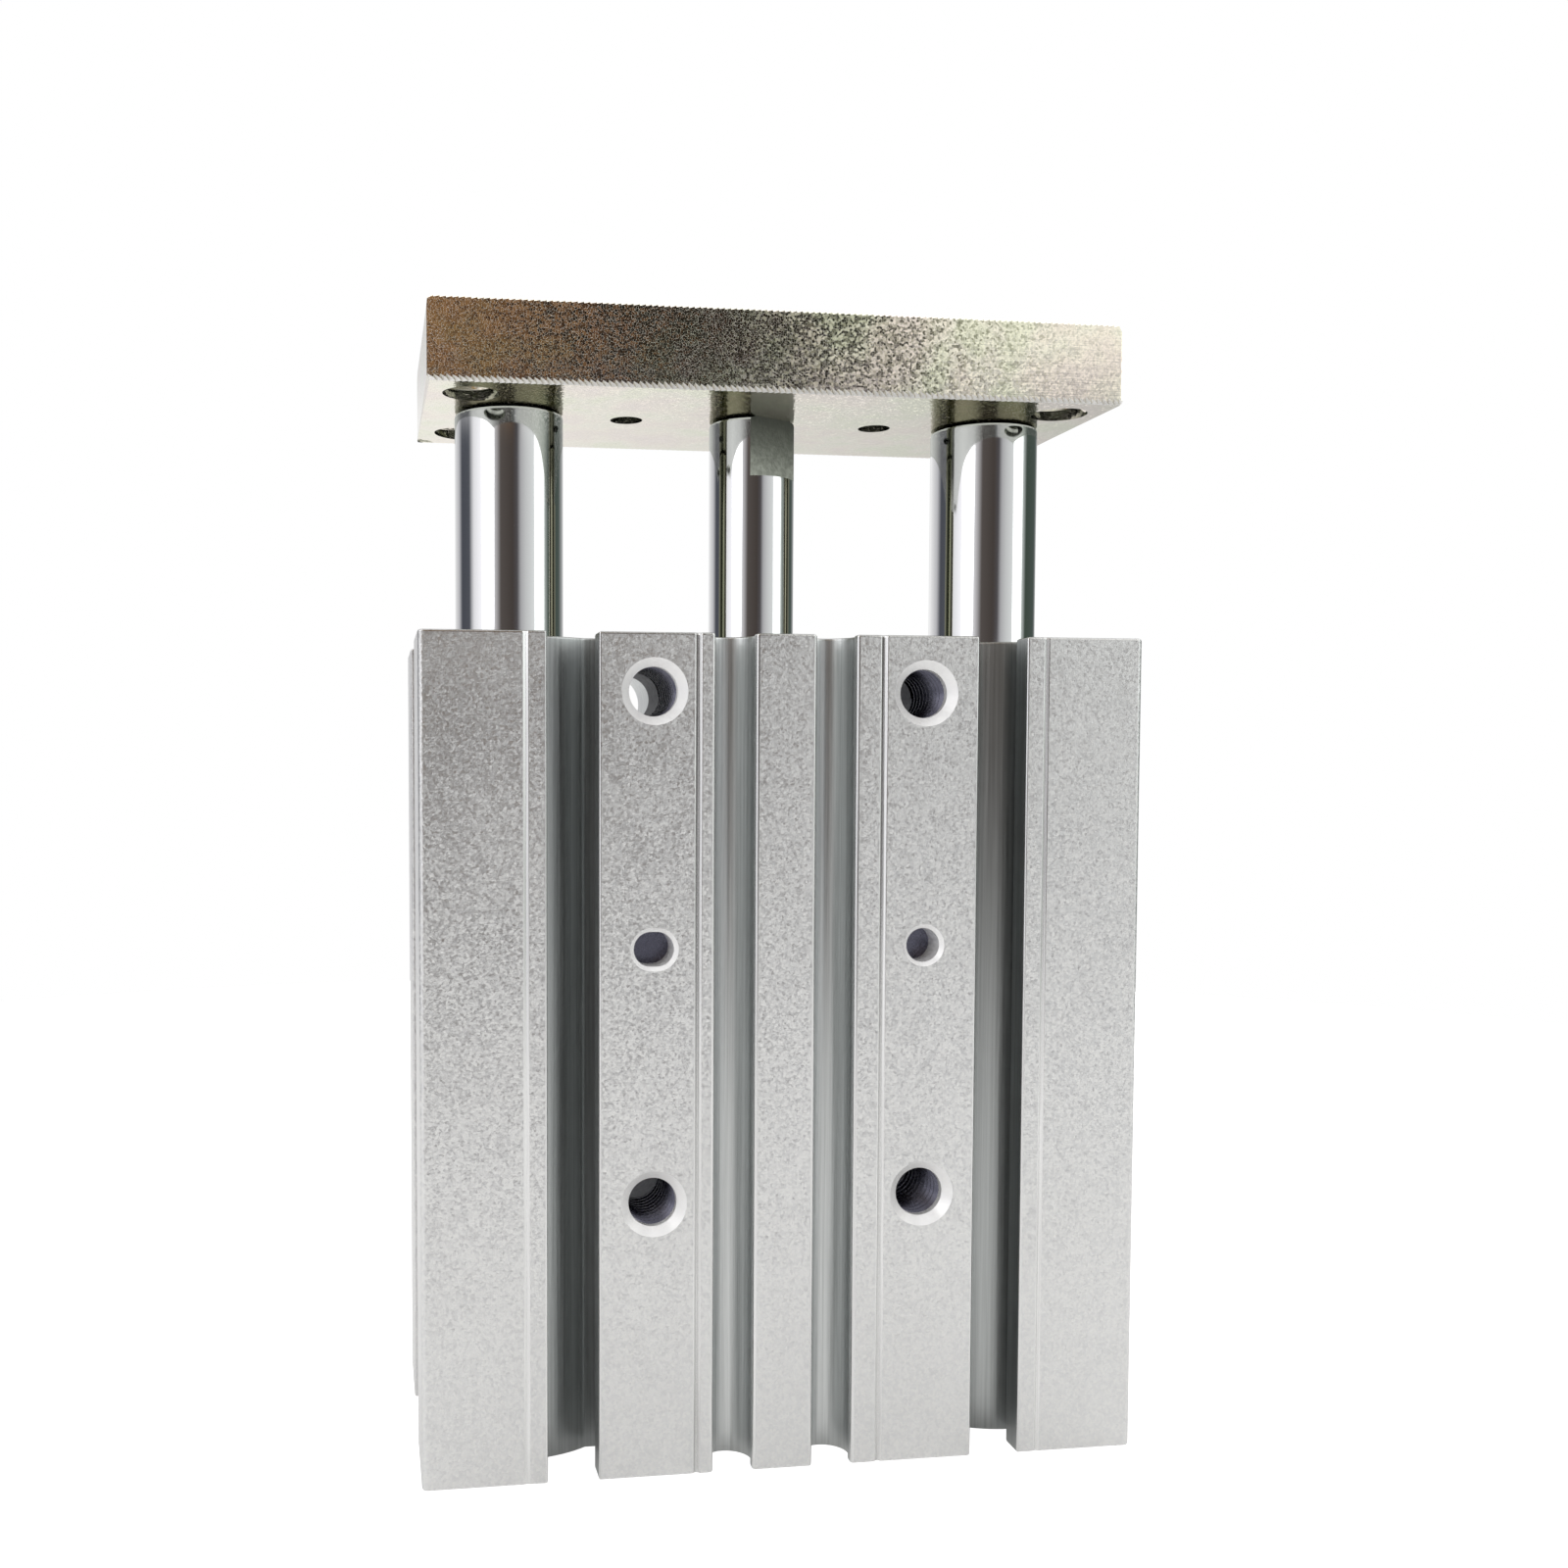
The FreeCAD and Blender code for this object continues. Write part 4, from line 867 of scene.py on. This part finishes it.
def bodyCutters(e):
    halfDepth, depth = bodyHigh.y / mm, (bodyHigh.y - bodyLow.y) / mm
    cutters = []
    front, back = facing((0, -1, 0)), facing((0, 1, 0))
    relief, counterbore = depth - e["reliefDepth"], depth - e["counterboreDepth"]
    through = [(e["throughHole"], e["faceThreadDepth"]), (e["throughHole"], relief), (e["relief"], relief),
               (e["relief"], counterbore), (e["counterbore"], counterbore), (e["counterbore"], depth + 1)]
    for x in (-e["faceHoleX"], e["faceHoleX"]):
        for z in e["faceHoleZ"]:
            hole = tappedCutter(e["thread"], e["faceThreadDepth"], e["faceChamfer"], through)
            cutters.append(moved(hole, at(x, -halfDepth, z) @ front))
    cutters.append(moved(holeCutter(e["locating"], e["locatingDepth"], e["locatingChamfer"], steps=48),
                         at(e["faceHoleX"], -halfDepth, e["locatingZ"]) @ front))
    slot = holeCutter(e["locating"], e["locatingDepth"], e["locatingChamfer"], steps=48)
    slot.transform(front)
    reach = (e["locatingSlot"] / 2 - e["locating"]) * mm
    for vertex in slot.vertices:
        vertex.co.x += math.copysign(reach, vertex.co.x) if abs(vertex.co.x) > 1e-7 else 0
    cutters.append(moved(slot, at(-e["faceHoleX"], -halfDepth, e["locatingZ"])))
    passage = [(e["portPassage"], e["portDepth"]), (e["portPassage"], halfDepth - e["bore"] / 2)]
    for z in e["portZ"]:
        hole = tappedCutter(e["thread"], e["portDepth"], e["portChamfer"], passage)
        cutters.append(moved(hole, at(0, halfDepth, z) @ back))
    down = facing((0, 0, -1))
    for x, y in fourWays(*e["rearHole"]):
        hole = tappedCutter(e["thread"], e["rearDepth"], e["rearChamfer"])
        cutters.append(moved(hole, at(x, y, 0) @ down))
    return cutters


bodyFinishes = ["blasted", "sensorSlot", "tSlot", "lip"]
holeFinishes = ["tapped", "mouth", "bored"]
finishIndex = {name: index for index, name in enumerate(bodyFinishes + holeFinishes)}


def paintSection(mesh, e):
    # the insides of the slots, and the rounded lips and V-grooves, each in a finish of its own: the T-slots
    # painted darker than the sensor slots as painted shade, the lips and V-grooves painted brighter as
    # painted highlight
    paint(mesh, *bodyFinishes)
    halfWidth, halfDepth = bodyHigh.x / mm, bodyHigh.y / mm
    for face in mesh.polygons:
        place = face.center / mm
        if abs(face.normal.z) > 0.5 or abs(place.x) > halfWidth - e["recessDepth"] - 0.1:
            continue
        if halfDepth - abs(place.y) > e["lipDepth"]:
            inTSlot = abs(place.x) > e["markInner"] + 1
            face.material_index = finishIndex["tSlot" if inTSlot else "sensorSlot"]
        elif abs(face.normal.y) < e["lipNormal"]:
            face.material_index = finishIndex["lip"]


def paintHoles(mesh, e):
    # mouths painted bright as a painted highlight, the bore behind each face thread painted dark as painted
    # shade, and the lighter relief behind that; the rest of each hole keeps the dark tapped finish, also
    # painted shade
    for finish in holeFinishes[1:]:
        mesh.materials.append(finishes[finish])
    halfDepth = bodyHigh.y / mm
    mouthDepth = threads["collar"] + e["mouthPaint"]
    threadEnd, reliefEnd = e["faceThreadDepth"] - halfDepth, halfDepth - e["reliefDepth"]
    seat = halfDepth - e["counterboreDepth"]
    for face in mesh.polygons:
        place = face.center / mm
        if face.material_index != finishIndex["tapped"]:
            continue
        if halfDepth - abs(place.y) < mouthDepth and abs(face.normal.y) < e["mouthNormal"]:
            face.material_index = finishIndex["mouth"]
        elif threadEnd < place.y < reliefEnd:
            face.material_index = finishIndex["bored"]
        elif reliefEnd < place.y < seat and abs(place.x) > e["portReach"]:
            face.material_index = finishIndex["sensorSlot"]


def addBodyThreads(e):
    halfDepth = bodyHigh.y / mm
    sunk = halfDepth - e["faceChamfer"] - threadSink
    mouths = [(side * e["faceHoleX"], -sunk, z) for side in (-1, 1) for z in e["faceHoleZ"]]
    addThreads("face_threads", mouths, (0, -1, 0), e["thread"], e["faceThreadDepth"], "tapped", standing)
    sunk = halfDepth - e["portChamfer"] - threadSink
    mouths = [(0, sunk, z) for z in e["portZ"]]
    addThreads("port_threads", mouths, (0, 1, 0), e["thread"], e["portDepth"], "tapped", standing)
    mouths = [(x, y, e["rearChamfer"] + threadSink) for x, y in fourWays(*e["rearHole"])]
    addThreads("rear_threads", mouths, (0, 0, -1), e["thread"], e["rearDepth"], "tapped", standing)


def buildBody(e):
    mesh = makeBody(e)
    paintSection(mesh, e)
    mesh = cut(mesh, bodyCutters(e), holeFinishes[0])
    paintHoles(mesh, e)
    addPiece("extruded_body", smoothed(mesh, 34), standing, ["body_extrusion"])
    addBodyThreads(e)


buildBody(extrusion)
print("body made")


# ---- the end plate

plateFinishes = ["nickel", "tooth", "gap"]
plate = {  # mm; slant, edgeShare, uneven and the three gap numbers are shares
    "toothPitch": 0.53, "crest": 0.2, "notch": 0.5, "slant": 0.5, "gapShare": (0.1, 0.22),
    "gapFrom": 0.125, "gapTo": 0.375, "uneven": (0.85, 1.12), "edgeShare": 0.4, "seed": 4,
    "topCorner": 0.7, "endChamfer": 0.15, "mouthChamfer": 0.15,
    "threadX": 27.0, "threadY": 8.0, "thread": 2.5, "threadChamfer": 0.3,
    "dowelX": 12.0, "dowel": 1.5,
    "guideX": 23.0, "guideBore": 4.5, "guideRecess": 4.0, "guideHole": 2.5,
    "rodBore": 3.75, "rodRecess": 3.3, "rodHole": 2.0,
}


def makePlate(p):
    # a block whose long edges are broken by notches, slanting on the lower front edge
    low, high = plateLow / mm, plateHigh / mm
    count = round((high.x - low.x) / p["toothPitch"])
    pitch = (high.x - low.x) / count
    chance = random.Random(p["seed"])
    few, many = p["gapShare"]
    work = bmesh.new()
    lines = []
    for i in range(2 * count + 1):
        across = i / (2 * count)
        widened = (across - p["gapFrom"]) / (p["gapTo"] - p["gapFrom"])
        share = few + (many - few) * min(max(widened, 0), 1)
        x = low.x + pitch * (i // 2 + (share if i % 2 else 0))
        fromEnd = min(i, 2 * count - i) * pitch / 2
        ends = p["endChamfer"] if fromEnd == 0 else 0.0
        size = (p["notch"] if i % 2 else p["crest"]) * chance.uniform(*p["uneven"])
        inner = max(p["topCorner"] - fromEnd, 0)
        drop = p["topCorner"] - math.sqrt(p["topCorner"] ** 2 - inner ** 2)
        top = high.z - drop
        small = size * p["edgeShare"]
        section = [(x, high.y - small - ends, low.z + ends), (x, high.y - ends, low.z + small + ends),
                   (x, high.y - ends, top - small - ends), (x, high.y - small - ends, top - ends),
                   (x, low.y + small + ends, top - ends), (x, low.y + ends, top - small - ends),
                   (x, low.y + ends, low.z + size + ends),
                   (x + p["slant"] * pitch, low.y + size + ends, low.z + ends)]
        lines.append([work.verts.new((min(max(cx, low.x), high.x) * mm, cy * mm, cz * mm))
                      for cx, cy, cz in section])
    for i, (first, second) in enumerate(zip(lines, lines[1:])):
        for k in (0, 2, 4, 6):
            face = work.faces.new((first[k], second[k], second[k + 1], first[k + 1]))
            # painted highlight on the teeth and painted shade in the notches between them
            if k == 6:
                face.material_index = plateFinishes.index("tooth" if i % 2 else "gap")
    # the four broad faces, each one polygon
    for k in (1, 3, 5, 7):
        n = (k + 1) % 8
        work.faces.new([line[k] for line in lines] + [line[n] for line in reversed(lines)])
    work.faces.new(lines[0])
    work.faces.new(list(reversed(lines[-1])))
    bmesh.ops.recalc_face_normals(work, faces=work.faces)
    mesh = meshFrom(work, "plate")
    for name in plateFinishes:
        mesh.materials.append(finishes[name])
    return mesh


def screwCutter(x, bore, recess, hole, chamfer):
    # a plug for a screw's hole in the plate, its recess and the mouth of the recess
    low, high = (plateLow / mm).z, (plateHigh / mm).z
    outline = [(0, high + 1), (bore + chamfer + 1, high + 1), (bore + chamfer, high), (bore, high - chamfer),
               (bore, high - recess), (hole, high - recess), (hole, low - 1), (0, low - 1)]
    return lathe(outline, 64, (x, 0))


def buildPlate(p):
    high = (plateHigh / mm).z
    thick = high - (plateLow / mm).z
    cutters = []
    for x, y in fourWays(p["threadX"], p["threadY"]):
        cutters.append(moved(tappedCutter(p["thread"], thick + 1, p["threadChamfer"]), at(x, y, high)))
    for x in (-p["dowelX"], p["dowelX"]):
        cutters.append(moved(holeCutter(p["dowel"], thick + 1, p["mouthChamfer"], 48), at(x, 0, high)))
    guide = (p["guideBore"], p["guideRecess"], p["guideHole"], p["mouthChamfer"])
    cutters.append(screwCutter(-p["guideX"], *guide))
    cutters.append(screwCutter(p["guideX"], *guide))
    cutters.append(screwCutter(0, p["rodBore"], p["rodRecess"], p["rodHole"], p["mouthChamfer"]))
    mesh = smoothed(cut(makePlate(p), cutters, "nickel"), 30)
    addPiece("tool_plate", mesh, moving, ["end_plate"])
    sunk = high - p["threadChamfer"] - threadSink
    mouths = [(x, y, sunk) for x, y in fourWays(p["threadX"], p["threadY"])]
    depth = thick - p["threadChamfer"]
    addThreads("plate_threads", mouths, (0, 0, 1), p["thread"], depth, "nickel", moving)


buildPlate(plate)
print("plate made")


# ---- rods and screws

rods = {  # mm, and degrees round the rod
    "guideChamfer": 0.8, "endChamfer": 0.4, "flatAngle": 26.0, "flatWidth": 6.0,
}


def rodOutline(low, high, radius, bottom, top):
    return [(0, low), (radius - bottom, low), (radius - bottom * 0.1, low + bottom * 0.9),
            (radius, low + bottom), (radius, high - top), (radius - top * 0.1, high - top * 0.5),
            (radius - top, high), (0, high)]


def flatCutter(r, side, radius, end):
    # a block that mills one wrench flat into the end of a rod and reaches 2 mm past that end
    work = bmesh.new()
    bmesh.ops.create_cube(work, size=1)
    block = meshFrom(work, "flat")
    reach = radius * 2
    block.transform(Matrix.Diagonal((reach * mm * 2, reach * mm, (flatLength + 2) * mm, 1)))
    block.transform(at(0, side * (r["flatWidth"] / 2 + reach / 2), end + 1 - flatLength / 2))
    block.transform(Matrix.Rotation(math.radians(r["flatAngle"]), 4, "Z"))
    return block


def buildRods(r):
    for side in ("left", "right"):
        cadNode = f"guide_rod_{side}"
        low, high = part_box(cadNode)
        middle = ((low.x + high.x) / 2 / mm, 0)
        mesh = lathe(rodOutline(low.z / mm, high.z / mm, (high.x - low.x) / 2 / mm, r["guideChamfer"],
                                r["endChamfer"]), 160, middle)
        paint(mesh, "chrome")
        addPiece(f"guide_shaft_{side}", smoothed(mesh, 28), moving, [cadNode])
    low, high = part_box("piston_rod")
    radius = (high.y - low.y) / 2 / mm
    mesh = lathe(rodOutline(low.z / mm, high.z / mm, radius, r["endChamfer"], r["endChamfer"]), 160)
    paint(mesh, "chrome")
    flats = [flatCutter(r, side, radius, high.z / mm) for side in (-1, 1)]
    addPiece("piston_shaft", smoothed(cut(mesh, flats, "flat"), 24), moving, ["piston_rod"])


buildRods(rods)
print("rods made")


# ---- the CAD pieces that keep their shape

keptFinishes = {
    "head_cover": "turned", "rod_cover": "turned", "piston": "turned",
    "head_cover_o_ring": "rubber", "rod_cover_o_ring": "rubber",
    "rod_seal": "rubber", "piston_seal": "rubber",
    "front_bumper": "bumper", "rear_bumper": "bumper",
    "head_cover_snap_ring": "spring", "rod_cover_snap_ring": "spring",
    "front_guide_bush_left": "bronze", "front_guide_bush_right": "bronze",
    "rear_guide_bush_left": "bronze", "rear_guide_bush_right": "bronze",
    "felt_ring_left": "felt", "felt_ring_right": "felt",
    "piston_magnet": "ferrite", "wear_ring": "acetal",
    "guide_bolts": "blackened", "rod_bolt": "blackened",
}
for name, finish in keptFinishes.items():
    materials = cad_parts[name].data.materials
    materials.clear()
    materials.append(finishes[finish])
print("kept pieces finished:", len(keptFinishes))
